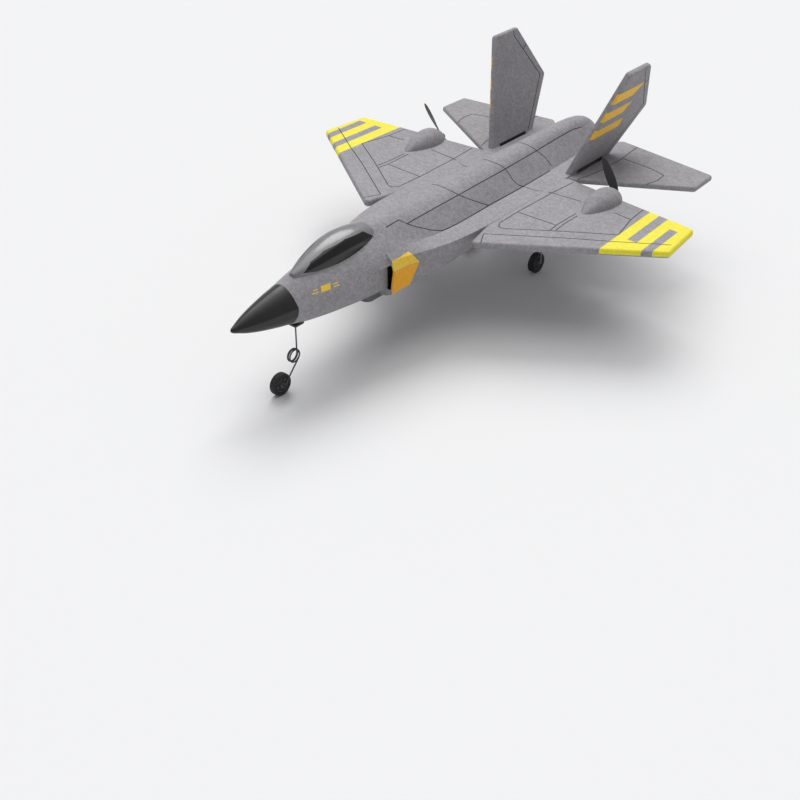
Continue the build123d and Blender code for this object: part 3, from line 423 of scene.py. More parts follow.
DECK_LINES = [
    [(13.2, -43.4), (12.7, -19.0), (12.0, 10.8), (10.9, 60.0), (9.5, 103.0), (7.9, 150.0),
     (8.4, 162.0)],
    [(13.2, -43.4), (16.4, -38.6), (21.0, -29.0), (23.9, -20.6), (24.2, -6.0), (23.4, 30.0),
     (23.1, 69.7), (22.2, 103.0)],
    [(12.0, 10.8), (17.0, 18.6), (23.4, 30.0)],
    [(10.8, 64.7), (18.0, 64.6), (21.4, 66.4), (23.1, 70.2), (31.0, 70.4), (38.4, 73.4)],
    [(9.5, 103.4), (15.0, 107.2), (20.2, 107.6)],
]
CROSS_LINES = [
    [(-12.0, 10.8), (-7.0, 7.6), (0.0, 6.4), (7.0, 7.6), (12.0, 10.8)],
    [(-10.8, 64.7), (-5.0, 61.2), (0.0, 60.0), (5.0, 61.2), (10.8, 64.7)],
    [(-9.5, 103.4), (-5.4, 100.4), (0.0, 99.2), (5.4, 100.4), (9.5, 103.4)],
    [(-13.2, -43.4), (-9.6, -47.4), (-9.8, -60.0)],
    [(13.2, -43.4), (9.6, -47.4), (9.8, -60.0)],
]
# Distance behind the fin's foot, and height up its slope.
FIN_LINES = [
    [(55.5, 77.0), (54.6, 70.6), (75.6, 36.0), (46.4, -1.0)],
    [(62.0, 59.0), (66.2, 61.4)],
]


# Shader groups


def new_group(name, inputs, outputs):
    """An empty shader group with named sockets, each (name, kind, default)."""
    group = bpy.data.node_groups.new(name, "ShaderNodeTree")
    for label, kind, value in inputs:
        socket = group.interface.new_socket(label, in_out="INPUT", socket_type="NodeSocket" + kind)
        if value is not None:
            socket.default_value = value
    for label, kind in outputs:
        group.interface.new_socket(label, in_out="OUTPUT", socket_type="NodeSocket" + kind)
    return group, group.nodes.new("NodeGroupInput"), group.nodes.new("NodeGroupOutput")


def put(tree, kind, inputs, **settings):
    """A node with its settings made, and its inputs linked or given constants."""
    node = tree.nodes.new(kind)
    for key, value in settings.items():
        setattr(node, key, value)
    for key, value in inputs.items():
        if isinstance(value, bpy.types.NodeSocket):
            tree.links.new(value, node.inputs[key])
        else:
            node.inputs[key].default_value = value
    return node


def maths(tree, operation, a, b=0.0, clamp=False):
    """The value of one sum of two terms."""
    return put(tree, "ShaderNodeMath", {0: a, 1: b}, operation=operation, use_clamp=clamp).outputs[0]


def scaled(tree, value, factor, offset=0.0):
    """A value times a factor, plus an offset."""
    return maths(tree, "ADD", maths(tree, "MULTIPLY", value, factor), offset)


def swing(tree, value, amount):
    """How far a value is from one half, times an amount."""
    return maths(tree, "MULTIPLY", maths(tree, "SUBTRACT", value, 0.5), amount)


def mixed(tree, share, a, b, blend="MIX"):
    """Two colours mixed by a share."""
    inputs = {0: share, 6: a, 7: b}
    return put(tree, "ShaderNodeMix", inputs, data_type="RGBA", blend_type=blend).outputs[2]


def tinted(group, colour_in, shade):
    """A colour with all its channels multiplied by one value."""
    tone = put(group, "ShaderNodeCombineColor", {0: shade, 1: shade, 2: shade}).outputs[0]
    return mixed(group, 1.0, colour_in, tone, "MULTIPLY")


def make_bead_group():
    """Moulded bead foam: cells with slightly different greys, pits between them and fine grain."""
    group, source, sink = new_group(
        "Bead foam",
        [("Vector", "Vector", None), ("Colour", "Color", (0.2, 0.2, 0.2, 1)),
         ("Bead", "Float", 0.0015), ("Contrast", "Float", 0.2)],
        [("Colour", "Color"), ("Height", "Float"), ("Roughness", "Float")],
    )
    where = source.outputs["Vector"]
    contrast = source.outputs["Contrast"]
    scale = maths(group, "DIVIDE", 1.0, source.outputs["Bead"])
    cells = put(group, "ShaderNodeTexVoronoi", {"Vector": where, "Scale": scale}, feature="F1")
    rims = put(group, "ShaderNodeTexVoronoi", {"Vector": where, "Scale": scale}, feature="DISTANCE_TO_EDGE")
    fine = put(group, "ShaderNodeTexNoise",
               {"Vector": where, "Scale": 1100.0, "Detail": 4.0, "Roughness": 0.75}).outputs[0]
    broad = put(group, "ShaderNodeTexNoise",
                {"Vector": where, "Scale": 45.0, "Detail": 4.0, "Roughness": 0.55}).outputs[0]
    grey = put(group, "ShaderNodeSeparateColor", {0: cells.outputs["Color"]}).outputs[0]
    lift = swing(group, grey, contrast)
    grain = swing(group, fine, maths(group, "MULTIPLY", contrast, 2.2))
    cloud = swing(group, broad, maths(group, "MULTIPLY", contrast, 0.9))
    shade = maths(group, "ADD", maths(group, "ADD", lift, grain), maths(group, "ADD", cloud, 1.0))
    rim = put(group, "ShaderNodeMapRange",
              {"Value": rims.outputs["Distance"], "From Min": 0.0, "From Max": 0.12}).outputs[0]
    shade = maths(group, "MULTIPLY", shade, scaled(group, rim, 0.07, 0.93))
    height = maths(group, "ADD", maths(group, "MULTIPLY", rim, 0.7), maths(group, "MULTIPLY", fine, 0.5))
    group.links.new(tinted(group, source.outputs["Colour"], shade), sink.inputs["Colour"])
    group.links.new(height, sink.inputs["Height"])
    group.links.new(scaled(group, fine, 0.2, 0.55), sink.inputs["Roughness"])


def make_patch_group():
    """A mask that is one inside a skewed box.

    With P' = P - y * Skew by Y - z * Skew by Z, the mask is the least of
    (P' - Low) / Feather and (High - P') / Feather over x, y and z, held between 0 and 1.
    """
    group, source, sink = new_group(
        "Painted patch",
        [("Vector", "Vector", None), ("Low", "Vector", (-1, -1, -1)), ("High", "Vector", (1, 1, 1)),
         ("Skew by Y", "Vector", (0, 0, 0)), ("Skew by Z", "Vector", (0, 0, 0)),
         ("Feather", "Float", 0.0002)],
        [("Mask", "Float")],
    )
    split = put(group, "ShaderNodeSeparateXYZ", {0: source.outputs["Vector"]})
    moved = source.outputs["Vector"]
    for axis, label in ((1, "Skew by Y"), (2, "Skew by Z")):
        shift = put(group, "ShaderNodeVectorMath",
                    {0: source.outputs[label], "Scale": split.outputs[axis]}, operation="SCALE")
        moved = put(group, "ShaderNodeVectorMath", {0: moved, 1: shift.outputs[0]},
                    operation="SUBTRACT").outputs[0]
    sides = []
    for a, b in ((moved, source.outputs["Low"]), (source.outputs["High"], moved)):
        gap = put(group, "ShaderNodeVectorMath", {0: a, 1: b}, operation="SUBTRACT").outputs[0]
        parts = put(group, "ShaderNodeSeparateXYZ", {0: gap})
        sides += list(parts.outputs)
    least = sides[0]
    for side in sides[1:]:
        least = maths(group, "MINIMUM", least, side)
    mask = maths(group, "DIVIDE", least, source.outputs["Feather"], clamp=True)
    group.links.new(mask, sink.inputs["Mask"])


def make_wear_group():
    """Fine scratches and dust for moulded plastic and metal: a colour lift and a rougher patchwork."""
    group, source, sink = new_group(
        "Handling wear",
        [("Vector", "Vector", None), ("Colour", "Color", (0.1, 0.1, 0.1, 1)),
         ("Scale", "Float", 300.0), ("Amount", "Float", 0.25), ("Base roughness", "Float", 0.45)],
        [("Colour", "Color"), ("Roughness", "Float"), ("Height", "Float")],
    )
    where = source.outputs["Vector"]
    noise = put(group, "ShaderNodeTexNoise",
                {"Vector": where, "Scale": source.outputs["Scale"], "Detail": 5.0, "Roughness": 0.6})
    noise = noise.outputs[0]
    fine = put(group, "ShaderNodeTexNoise",
               {"Vector": where, "Scale": 3800.0, "Detail": 2.0, "Roughness": 0.5}).outputs[0]
    lift = swing(group, noise, source.outputs["Amount"])
    shade = scaled(group, lift, 1.6, 1.0)
    rough = maths(group, "ADD", source.outputs["Base roughness"], lift, clamp=True)
    height = maths(group, "ADD", fine, maths(group, "MULTIPLY", noise, 0.4))
    group.links.new(tinted(group, source.outputs["Colour"], shade), sink.inputs["Colour"])
    group.links.new(rough, sink.inputs["Roughness"])
    group.links.new(height, sink.inputs["Height"])


def blank_material(name):
    """A material with a Principled shader and Object coordinates."""
    material = bpy.data.materials.new(name)
    material.use_nodes = True
    tree = material.node_tree
    shader = tree.nodes["Principled BSDF"]
    where = tree.nodes.new("ShaderNodeTexCoord").outputs["Object"]
    return material, tree, shader, where


def group_node(tree, name, inputs):
    """A shader group placed in a material with its own values."""
    return put(tree, "ShaderNodeGroup", inputs, node_tree=bpy.data.node_groups[name])


def bump(tree, shader, height, distance):
    """Feeds a height to the shader's normal."""
    node = put(tree, "ShaderNodeBump", {"Height": height, "Distance": distance, "Strength": 1.0})
    tree.links.new(node.outputs[0], shader.inputs["Normal"])


def rgba(value):
    """A colour with full alpha."""
    return (value[0], value[1], value[2], 1.0)


def folded(tree, where):
    """Object coordinates with x made positive, so that a mark falls on both sides."""
    split = put(tree, "ShaderNodeSeparateXYZ", {0: where})
    x = maths(tree, "ABSOLUTE", split.outputs[0])
    inputs = {0: x, 1: split.outputs[1], 2: split.outputs[2]}
    return put(tree, "ShaderNodeCombineXYZ", inputs).outputs[0]


def painted(tree, where, low, high, skew_y=(0, 0, 0), skew_z=(0, 0, 0), feather=0.25):
    """The mask of a skewed box whose sizes are in millimetres."""
    values = {
        "Vector": where,
        "Low": [v * MM for v in low],
        "High": [v * MM for v in high],
        "Skew by Y": skew_y,
        "Skew by Z": skew_z,
        "Feather": feather * MM,
    }
    return group_node(tree, "Painted patch", values).outputs[0]


def any_of(tree, masks):
    """The greatest of several masks."""
    out = masks[0]
    for mask in masks[1:]:
        out = maths(tree, "MAXIMUM", out, mask)
    return out


def all_but(tree, mask, holes):
    """A mask with other masks taken out of it."""
    return maths(tree, "SUBTRACT", mask, any_of(tree, holes), clamp=True)


# How strongly the beads show in bare foam, how much of that paint hides, and the paint's polish.
BEAD_CONTRAST = 0.26
PAINT_HIDES = 0.17
PAINT_POLISH = 0.12
BEAD_RELIEF = 0.09 * MM


def foam_material(name, marks=None):
    """Bead foam, with painted marks and painted shade: marks(tree, where) lists (mask, colour), and faces
    inside a groove get painted shade.
    """
    material, tree, shader, where = blank_material(name)
    base = rgba(colours().foam)
    masks = []
    for mask, mark in (marks(tree, where) if marks else []):
        base = mixed(tree, mask, base, mark)
        masks.append(mask)
    covered = any_of(tree, masks) if masks else 0.0
    contrast = maths(tree, "SUBTRACT", BEAD_CONTRAST, maths(tree, "MULTIPLY", covered, PAINT_HIDES))
    beads = group_node(tree, "Bead foam",
                       {"Vector": where, "Colour": base, "Bead": sizes().bead, "Contrast": contrast})
    # Painted shade: faces marked as groove take the panel-line colour.
    pressed = put(tree, "ShaderNodeAttribute", {}, attribute_name="groove").outputs["Fac"]
    with_groove_shade = mixed(tree, pressed, beads.outputs["Colour"], rgba(colours().groove))
    tree.links.new(with_groove_shade, shader.inputs["Base Color"])
    polish = maths(tree, "MULTIPLY", covered, PAINT_POLISH)
    rough = maths(tree, "SUBTRACT", beads.outputs["Roughness"], polish)
    tree.links.new(rough, shader.inputs["Roughness"])
    shader.inputs["Specular IOR Level"].default_value = 0.35
    bump(tree, shader, beads.outputs["Height"], BEAD_RELIEF)
    return material


# The band at each wing tip starts at TIP_BAND and leans outwards to the rear. The bare slots in it
# are given by their inner and outer edge, front and rear. The two wings carry different ones.
TIP_BAND = 114.4
BAND_LEAN = 0.044
BAND_DEPTH = 1.2
TIP_SLOTS = {
    1.0: ((122.0, 129.2, 50.5, FAR), (136.8, 143.2, -FAR, 81.0)),
    -1.0: ((124.0, 131.0, -FAR, 84.4), (139.2, 146.2, -FAR, 83.8)),
}


def wing_marks(sign):
    """The band across one wing tip, on the side whose sign is given."""

    def marks(tree, where):

        def bar(inner, outer, front, rear):
            low_x, high_x = sorted((sign * inner, sign * outer))
            return painted(tree, where, (low_x, front, WING_Z - BAND_DEPTH), (high_x, rear, FAR),
                           (-BAND_LEAN * sign, 0, 0))

        holes = [bar(*slot) for slot in TIP_SLOTS[sign]]
        whole = bar(TIP_BAND, FAR, -FAR, FAR)
        return [(all_but(tree, whole, holes), rgba(colours().stripe))]

    return marks


# Each bar of the fin's mark, in the fin's plane: where it ends, its lowest and highest edge,
# and how far its end leans forward for each millimetre of height.
FIN_BARS = ((50.0, 26.5, 33.6, 0.2), (50.0, 39.2, 46.8, 1.2), (56.0, 52.4, 60.4, 1.6))
# Where painted shade darkens the fin's foot at its slot: front and rear behind the root's trailing edge, and
# its height.
FIN_SLOT_FRONT = 12.5
FIN_SLOT_REAR = 45.0
FIN_SLOT_RISE = 1.7
ORANGE_SHARE = 0.45
# The near black of that painted shade in the fin's slot.
SLOT_PAINTED_SHADE = (0.012, 0.012, 0.012, 1)


def fin_marks(tree, where):
    """Three bars on the outer face of a fin, and painted shade in the slot at its foot."""
    side = folded(tree, where)
    lean_out = math.tan(FIN_CANT)
    middle_x = FIN_FOOT_X - FIN_FOOT_Z * lean_out + 0.5
    outer = painted(tree, side, (middle_x, -FAR, -FAR), (FAR, FAR, FAR), skew_z=(lean_out, 0, 0))
    bars = []
    for end, low, high, lean in FIN_BARS:
        low_z = FIN_FOOT_Z + low * math.cos(FIN_CANT)
        high_z = FIN_FOOT_Z + high * math.cos(FIN_CANT)
        end_y = ROOT_TE_Y + end - lean * (low_z + high_z) / 2
        bars.append(painted(tree, side, (-FAR, -FAR, low_z), (FAR, end_y, high_z), skew_z=(0, lean, 0)))
    mark = maths(tree, "MULTIPLY", any_of(tree, bars), outer)
    # Painted shade: the fin's foot is darkened where it enters its slot.
    slot = painted(tree, side, (-FAR, ROOT_TE_Y + FIN_SLOT_FRONT, -FAR),
                   (FAR, ROOT_TE_Y + FIN_SLOT_REAR, FIN_FOOT_Z + FIN_SLOT_RISE))
    blend = mixed(tree, ORANGE_SHARE, rgba(colours().wrap), rgba(colours().wrap_low))
    return [(mark, blend), (slot, SLOT_PAINTED_SHADE)]


# The intake band: where it ends behind the lip at the crease, how its rear edge leans above and
# below the crease, and its heights from the wing's middle.
BAND_REAR = 20.4
CREASE_DROP = 2.5
BAND_RISE = 5.0
BAND_DROP = 21.0
LEAN_ABOVE = -0.62
LEAN_BELOW = 0.30
# The intake's throat, darkened with painted shade: its outer wall at no height, how it flares, and its
# heights and depth.
THROAT_X = 26.3
THROAT_FLARE = 0.1345
THROAT_DROP = 17.6
THROAT_RISE = 1.2
THROAT_DEPTH = 8.0
# Along the nose and above the wing's middle: two dashes, a chip and two dashes.
DASH_LEAN = 0.5
DASH_REACH = 65.0
NOSE_DASHES = (
    (-9.6, -5.4, 1.6, 2.3),
    (-8.8, -5.4, 3.0, 3.7),
    (-3.4, 3.4, 1.2, 4.4),
    (5.4, 9.6, 1.6, 2.3),
    (5.4, 8.8, 3.0, 3.7),
)


def body_marks(tree, where):
    """The intake bands, painted shade in the intake throats and a row of small bars on each side of the
    nose.
    """
    side = folded(tree, where)
    crease = WING_Z - CREASE_DROP
    rear = LIP_Y + BAND_REAR
    above = painted(tree, side, (25.9, -FAR, crease), (FAR, rear - LEAN_ABOVE * crease, WING_Z + BAND_RISE),
                    skew_z=(0, LEAN_ABOVE, 0))
    below = painted(tree, side, (25.5, -FAR, WING_Z - BAND_DROP), (FAR, rear - LEAN_BELOW * crease, crease),
                    skew_z=(0, LEAN_BELOW, 0))
    front = painted(tree, side, (-FAR, LIP_Y - 0.6, -FAR), (FAR, FAR, FAR))
    # Painted shade: the recess behind each intake lip is darkened to near black.
    throat_shade = painted(tree, side, (0.0, LIP_Y + 0.3, WING_Z - THROAT_DROP),
                     (THROAT_X - THROAT_FLARE * crease, LIP_Y + THROAT_DEPTH, WING_Z + THROAT_RISE),
                     skew_z=(THROAT_FLARE, 0, 0))
    row = NOSE_Y + DASH_REACH - DASH_LEAN * (WING_Z + 2.8)
    small = [
        painted(tree, side, (6.0, row + ahead, WING_Z + low), (FAR, row + behind, WING_Z + high),
                skew_z=(0, DASH_LEAN, 0), feather=0.15)
        for ahead, behind, low, high in NOSE_DASHES
    ]
    return [
        (maths(tree, "MULTIPLY", above, front), rgba(colours().wrap)),
        (maths(tree, "MULTIPLY", below, front), rgba(colours().wrap_low)),
        (throat_shade, (0.012, 0.012, 0.013, 1)),
        (any_of(tree, small), rgba(colours().wrap)),
    ]


def plastic_material(name, tone, rough, scale=300.0, coat=0.0, metal=0.0, grain=0.02):
    """Moulded plastic or metal with light wear, whose grain is so many millimetres deep."""
    material, tree, shader, where = blank_material(name)
    wear = group_node(tree, "Handling wear",
                      {"Vector": where, "Colour": rgba(tone), "Scale": scale, "Base roughness": rough})
    tree.links.new(wear.outputs["Colour"], shader.inputs["Base Color"])
    tree.links.new(wear.outputs["Roughness"], shader.inputs["Roughness"])
    shader.inputs["Metallic"].default_value = metal
    shader.inputs["Coat Weight"].default_value = coat
    shader.inputs["Coat Roughness"].default_value = 0.08
    bump(tree, shader, wear.outputs["Height"], grain * MM)
    return material


def all_materials():
    """Every finish, by the record's slot name or by the piece that needs its own."""
    c = colours()
    return {
        "foam": foam_material("Foam plain"),
        "foam_body": foam_material("Foam body", body_marks),
        "foam_wing_left": foam_material("Foam wing left", wing_marks(1.0)),
        "foam_wing_right": foam_material("Foam wing right", wing_marks(-1.0)),
        "foam_fin": foam_material("Foam fin", fin_marks),
        "cone_black": plastic_material("Cone satin black", c.cone, 0.42, 120.0, grain=0.03),
        "canopy_grey": plastic_material("Canopy gloss grey", c.canopy, 0.30, 90.0, coat=0.35),
        "window_black": plastic_material("Window smoked", (0.006, 0.006, 0.0065), 0.22, 90.0,
                                         coat=0.15, grain=0.003),
        "carbon": plastic_material("Carbon rod", (0.02, 0.02, 0.02), 0.35),
        "plastic_dark": plastic_material("Fittings dark", c.plastic, 0.42),
        "plastic_box": plastic_material("Box charcoal", (0.115, 0.113, 0.118), 0.5, 500.0, grain=0.05),
        "plastic_white": plastic_material("Nylon white", (0.75, 0.75, 0.72), 0.4),
        "steel": plastic_material("Spring steel", (0.42, 0.42, 0.43), 0.3, 900.0, metal=1.0),
        "steel_dark": plastic_material("Blued spring steel", (0.10, 0.10, 0.105), 0.36, 900.0, metal=1.0),
        "wire_red": plastic_material("Lead red", (0.5, 0.02, 0.015), 0.35),
        "wire_grey": plastic_material("Antenna grey", (0.25, 0.25, 0.26), 0.4),
        "cell_silver": plastic_material("Cell foil", (0.55, 0.56, 0.58), 0.32, 700.0, coat=0.2, metal=0.6),
        "board_green": plastic_material("Board mask", (0.01, 0.13, 0.05), 0.28, 1200.0, coat=0.4),
        "chip_black": plastic_material("Chip epoxy", (0.015, 0.015, 0.016), 0.5, 1500.0),
        "lamp_red": plastic_material("Lamp tinted", (0.5, 0.015, 0.012), 0.12, 200.0, coat=0.8),
        "tyre": plastic_material("Tyre foam rubber", (0.018, 0.018, 0.019), 0.72, 1600.0, grain=0.06),
        "hub_grey": plastic_material("Hub grey", (0.075, 0.075, 0.08), 0.4, 600.0),
    }


LIBRARY = {}


def finish_of(node):
    """The material for a node's slot."""
    return LIBRARY[NODE_SLOT[node]]


# Operators


class JET_OT_materials(bpy.types.Operator):
    """Builds the shader groups and every finish."""

    bl_idname = "jet.materials"
    bl_label = "Finishes"

    def execute(self, context):
        make_bead_group()
        make_patch_group()
        make_wear_group()
        LIBRARY.update(all_materials())
        for node, obj in FRAME["nodes"].items():
            obj.data.materials.clear()
            obj.data.materials.append(finish_of(node))
        return {"FINISHED"}


class JET_OT_airframe(bpy.types.Operator):
    """Dresses the foam mouldings and presses their panel lines."""

    bl_idname = "jet.airframe"
    bl_label = "Foam airframe"

    def execute(self, context):
        deck = both_sides(DECK_LINES) + CROSS_LINES
        skin("foam_upper_body", "fuselage_upper", LIBRARY["foam_body"], deck)
        skin("foam_lower_body", "fuselage_lower", LIBRARY["foam_body"])
        for side, sign in SIDES:
            skin("foam_wing_" + side, "wing_" + side, LIBRARY["foam_wing_" + side],
                 mirrored(WING_LINES, sign))
            skin("foam_tailplane_" + side, "tailplane_" + side, LIBRARY["foam"],
                 mirrored(TAIL_LINES, sign))
            rudder = [[(ROOT_TE_Y + s, FIN_FOOT_Z + h * math.cos(FIN_CANT)) for s, h in line]
                      for line in FIN_LINES]
            skin("foam_fin_" + side, "fin_" + side, LIBRARY["foam_fin"], rudder,
                 (Vector((-sign, 0, 0)), Vector((sign, 0, 0))))
            skin("foam_nacelle_" + side, "nacelle_" + side, LIBRARY["foam"])
        return {"FINISHED"}


class JET_OT_nose(bpy.types.Operator):
    """Dresses the cone, the canopy's spine and its dark windows."""

    bl_idname = "jet.nose"
    bl_label = "Nose and canopy"

    def execute(self, context):
        skin("satin_cone", "nose_cone", LIBRARY["cone_black"], angle=50.0)
        skin("canopy_spine", "canopy_shell", LIBRARY["canopy_grey"], angle=40.0)
        for side, _ in SIDES:
            skin("window_pane_" + side, "canopy_window_" + side, LIBRARY["window_black"], angle=40.0)
        return {"FINISHED"}


def tyre_profile(half_width, outer, inner, ring):
    """The tyre's closed section as (across, radius).

    For an angle t the point is (w * c, m + h * s), with c and s the signed 0.55 powers of cos t
    and sin t, w the half width, m the mean radius and h half the wall. A ring of the given depth
    is pressed into each sidewall where sin t is near 0.12, and three shallower ones into the tread.
    """
    t = np.linspace(0, 2 * math.pi, 96, endpoint=False)
    power = 0.55
    c = np.sign(np.cos(t)) * np.abs(np.cos(t)) ** power
    s = np.sign(np.sin(t)) * np.abs(np.sin(t)) ** power
    across = half_width * c
    radius = (outer + inner) / 2 + (outer - inner) / 2 * s
    wall = ring * np.exp(-(((np.sin(t) - 0.12) / 0.16) ** 2)) * (np.abs(np.cos(t)) > 0.5)
    across = across - np.sign(across) * wall
    for place in (-0.5, 0.0, 0.5):
        tread = ring * 0.7 * np.exp(-(((across / half_width - place) / 0.07) ** 2))
        radius = radius - tread * (s > 0.7)
    return np.stack([across, radius], 1)


SPOKES = 6
RIM_INSET = 0.35
DISH_DEPTH = 1.1


def hub_face(centre, sign, half_width, boss_half, outer):
    """One face of the hub on a grid of radius r and angle t.

    Its distance from the middle plane is the rim's half width, less a dish of DISH_DEPTH between
    0.38 and 0.93 of the radius. Spokes, where cos(SPOKES * t) is near one, fill four fifths of the
    dish's depth. Inside 0.40 of the radius the face goes to the boss's own half width.
    """
    r = np.concatenate([np.linspace(AXLE_BORE, outer * 0.36, 8), np.linspace(outer * 0.38, outer, 22)])
    t = np.linspace(0, 2 * math.pi, 96, endpoint=False)
    share = r / outer
    dish = np.clip((share - 0.38) / 0.08, 0, 1) * np.clip((0.93 - share) / 0.07, 0, 1)
    spoke = np.clip((np.cos(SPOKES * t) - 0.78) / 0.14, 0, 1)
    depth = DISH_DEPTH * dish[:, None] * (1 - 0.8 * spoke[None])
    boss = np.clip((0.40 - share) / 0.03, 0, 1)[:, None]
    height = half_width - depth + (boss_half - half_width) * boss
    x = centre[0] + sign * height
    y = centre[1] + r[:, None] * np.cos(t)
    z = centre[2] + r[:, None] * np.sin(t)
    return np.stack([x, y, z], -1) * MM


def box_mm(node):
    """A CAD node's lowest and highest corner, in millimetres."""
    return [np.array(corner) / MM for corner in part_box(node)]


def build_wheel(tyre_name, hub_name, tyre_node, hub_node):
    """A tyre and its spoked hub, sized by their CAD nodes."""
    low, high = box_mm(tyre_node)
    hub_low, hub_high = box_mm(hub_node)
    centre = (low + high) / 2
    half = (high[0] - low[0]) / 2
    rim = (hub_high[2] - hub_low[2]) / 2
    profile = tyre_profile(half, (high[2] - low[2]) / 2, rim, sizes().sidewall / MM)
    piece(tyre_name, [turned(profile, centre, (1, 0, 0), 120, True)], tyre_node, LIBRARY["tyre"], 60)
    boss_half = (hub_high[0] - hub_low[0]) / 2
    faces = [hub_face(centre, sign, half - RIM_INSET, boss_half, rim - 0.01) for sign in (1, -1)]
    rims = [np.stack([faces[0][k], faces[1][k]]) for k in (0, -1)]
    piece(hub_name, [(f, False, True) for f in faces + rims], hub_node, LIBRARY["hub_grey"], 40)


class JET_OT_wheels(bpy.types.Operator):
    """Builds the three wheels."""

    bl_idname = "jet.wheels"
    bl_label = "Wheels"

    def execute(self, context):
        for side, _ in SIDES:
            build_wheel("wheel_tyre_" + side, "wheel_hub_" + side,
                        "main_tyre_" + side, "main_hub_" + side)
        build_wheel("wheel_tyre_nose", "wheel_hub_nose", "nose_tyre", "nose_hub")
        return {"FINISHED"}


# The nose leg's wire: its radius, the share of it that is drawn, and its bends.
WIRE_R = 0.5
WIRE_EASE = 0.98
WIRE_BEND = 1.2
LAST_TURN_EASE = 0.12


class JET_OT_legs(bpy.types.Operator):
    """Bends the wire legs, with the nose leg's spring coil."""

    bl_idname = "jet.legs"
    bl_label = "Wire legs"

    def execute(self, context):
        for side, _ in SIDES:
            skin("leg_wire_" + side, "main_gear_wire_" + side, LIBRARY["steel"], angle=60)
            skin("leg_cap_" + side, "main_wheel_retainer_" + side, LIBRARY["plastic_dark"], angle=30)
            skin("leg_block_" + side, "main_gear_block_" + side, LIBRARY["plastic_dark"], angle=30)
        skin("nose_cap", "nose_wheel_retainer", LIBRARY["plastic_dark"], angle=30)
        skin("nose_socket", "nose_gear_block", LIBRARY["plastic_dark"], angle=30)
        self.upper_wire()
        self.lower_wire()
        return {"FINISHED"}

    def coil(self):
        """The coil's middle in y and z, its mean radius, and its two ends in x."""
        low, high = box_mm("nose_gear_coil")
        radius = (high[1] - low[1]) / 2 - WIRE_R
        return (low[1] + high[1]) / 2, (low[2] + high[2]) / 2, radius, low[0] + WIRE_R, high[0] - WIRE_R

    def upper_wire(self):
        """The upright and two turns of the spring.

        The turns are a helix: (x0 + (x1 - x0) * a / 4 pi, y0 + R cos a, z0 - R sin a).
        """
        y0, z0, radius, x0, x1 = self.coil()
        top = box_mm("nose_gear_strut")[1][2]
        a = np.linspace(0, 4 * math.pi, 120)
        x = x0 + a / (4 * math.pi) * (x1 - x0)
        spring = np.stack([x, y0 + radius * np.cos(a), z0 - radius * np.sin(a)], 1)
        rise = np.linspace(top - 0.1, z0 + 1.0, 12)
        upright = np.stack([np.full(12, x0), np.full(12, y0 + radius), rise], 1)
        tube = swept(np.concatenate([upright, spring]), WIRE_R * WIRE_EASE, 14)
        spring_piece = piece("nose_spring", [tube], "nose_gear_coil", LIBRARY["steel_dark"], 60)
        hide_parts("nose_gear_strut")

    def lower_wire(self):
        """The last turn, the raked wire and the axle, in one bent wire.

        The turn is a circle in y and z that eases by LAST_TURN_EASE in x and leaves the coil on
        the tangent that passes through the wheel's middle.
        """
        y0, z0, radius, _, _ = self.coil()
        wire_low, wire_high = box_mm("nose_gear_wire")
        hub_low, hub_high = box_mm("nose_hub")
        _, wheel_y, wheel_z = (hub_low + hub_high) / 2
        x = wire_high[0] - WIRE_R
        reach = math.hypot(wheel_y - y0, wheel_z - z0)
        heading = math.atan2(wheel_z - z0, wheel_y - y0) + math.acos(radius / reach)
        a = np.linspace(heading + 2 * math.pi, heading, 70)
        turn = np.stack([np.full(70, x), y0 + radius * np.cos(a), z0 + radius * np.sin(a)], 1)
        turn[:, 0] -= LAST_TURN_EASE * np.linspace(1, 0, 70)
        run = rounded([turn[-1], (x, wheel_y, wheel_z), (wire_low[0] + 0.02, wheel_y, wheel_z)], WIRE_BEND)
        tube = swept_free(np.concatenate([turn[:-1], run]), WIRE_R * WIRE_EASE, 14)
        piece("nose_leg_wire", [tube], "nose_gear_wire", LIBRARY["steel_dark"], 60)


PROP_ANGLES = {"left": 30.0, "right": 38.0}
PROP_REACH = 27.9
PROP_CHORD = 6.3


def blade_grid(hand, angle, centre, thick):
    """One propeller blade as a grid of span s and section angle t.

    The chord is PROP_CHORD * sin(pi * (0.14 + 0.72 s)) ** 0.9, with a rounded end over the last
    0.14 of the span. The pitch is atan(0.30 / (s + 0.10)). Half the thickness, h, falls by 0.62
    from root to tip. A section point is (chord / 2 * cos t, h * (sin t + 0.35 * sin^2 t)), turned
    by the pitch about the span, and the blade is turned by its angle about the shaft.
    """
    s = np.linspace(0.05, 1.0, 34)
    t = np.linspace(0, 2 * math.pi, 28, endpoint=False)
    tip = np.sqrt(np.clip(1 - ((s - 0.86) / 0.14).clip(0, 1) ** 2, 1e-6, 1))
    chord = PROP_CHORD * np.sin(math.pi * (0.14 + 0.72 * s)) ** 0.9 * tip
    pitch = hand * np.arctan(0.30 / (s + 0.10))
    half = thick / 2 * (1 - 0.62 * s) * np.maximum(tip, 0.05)
    across = chord[:, None] / 2 * np.cos(t)
    up = half[:, None] * np.sin(t) + 0.35 * half[:, None] * np.sin(t) ** 2
    x = across * np.cos(pitch)[:, None] - up * np.sin(pitch)[:, None]
    y = across * np.sin(pitch)[:, None] + up * np.cos(pitch)[:, None]
    z = np.broadcast_to((s * PROP_REACH)[:, None], x.shape)
    turn = math.radians(-angle)
    rx = x * math.cos(turn) + z * math.sin(turn)
    rz = -x * math.sin(turn) + z * math.cos(turn)
    grid = (np.stack([rx, y, rz], -1) + np.array(centre)) * MM
    ends = np.stack([grid[0].mean(0) + 0 * grid[0], grid[-1].mean(0) + 0 * grid[-1]])
    return np.concatenate([ends[:1], grid, ends[1:]]), False, True


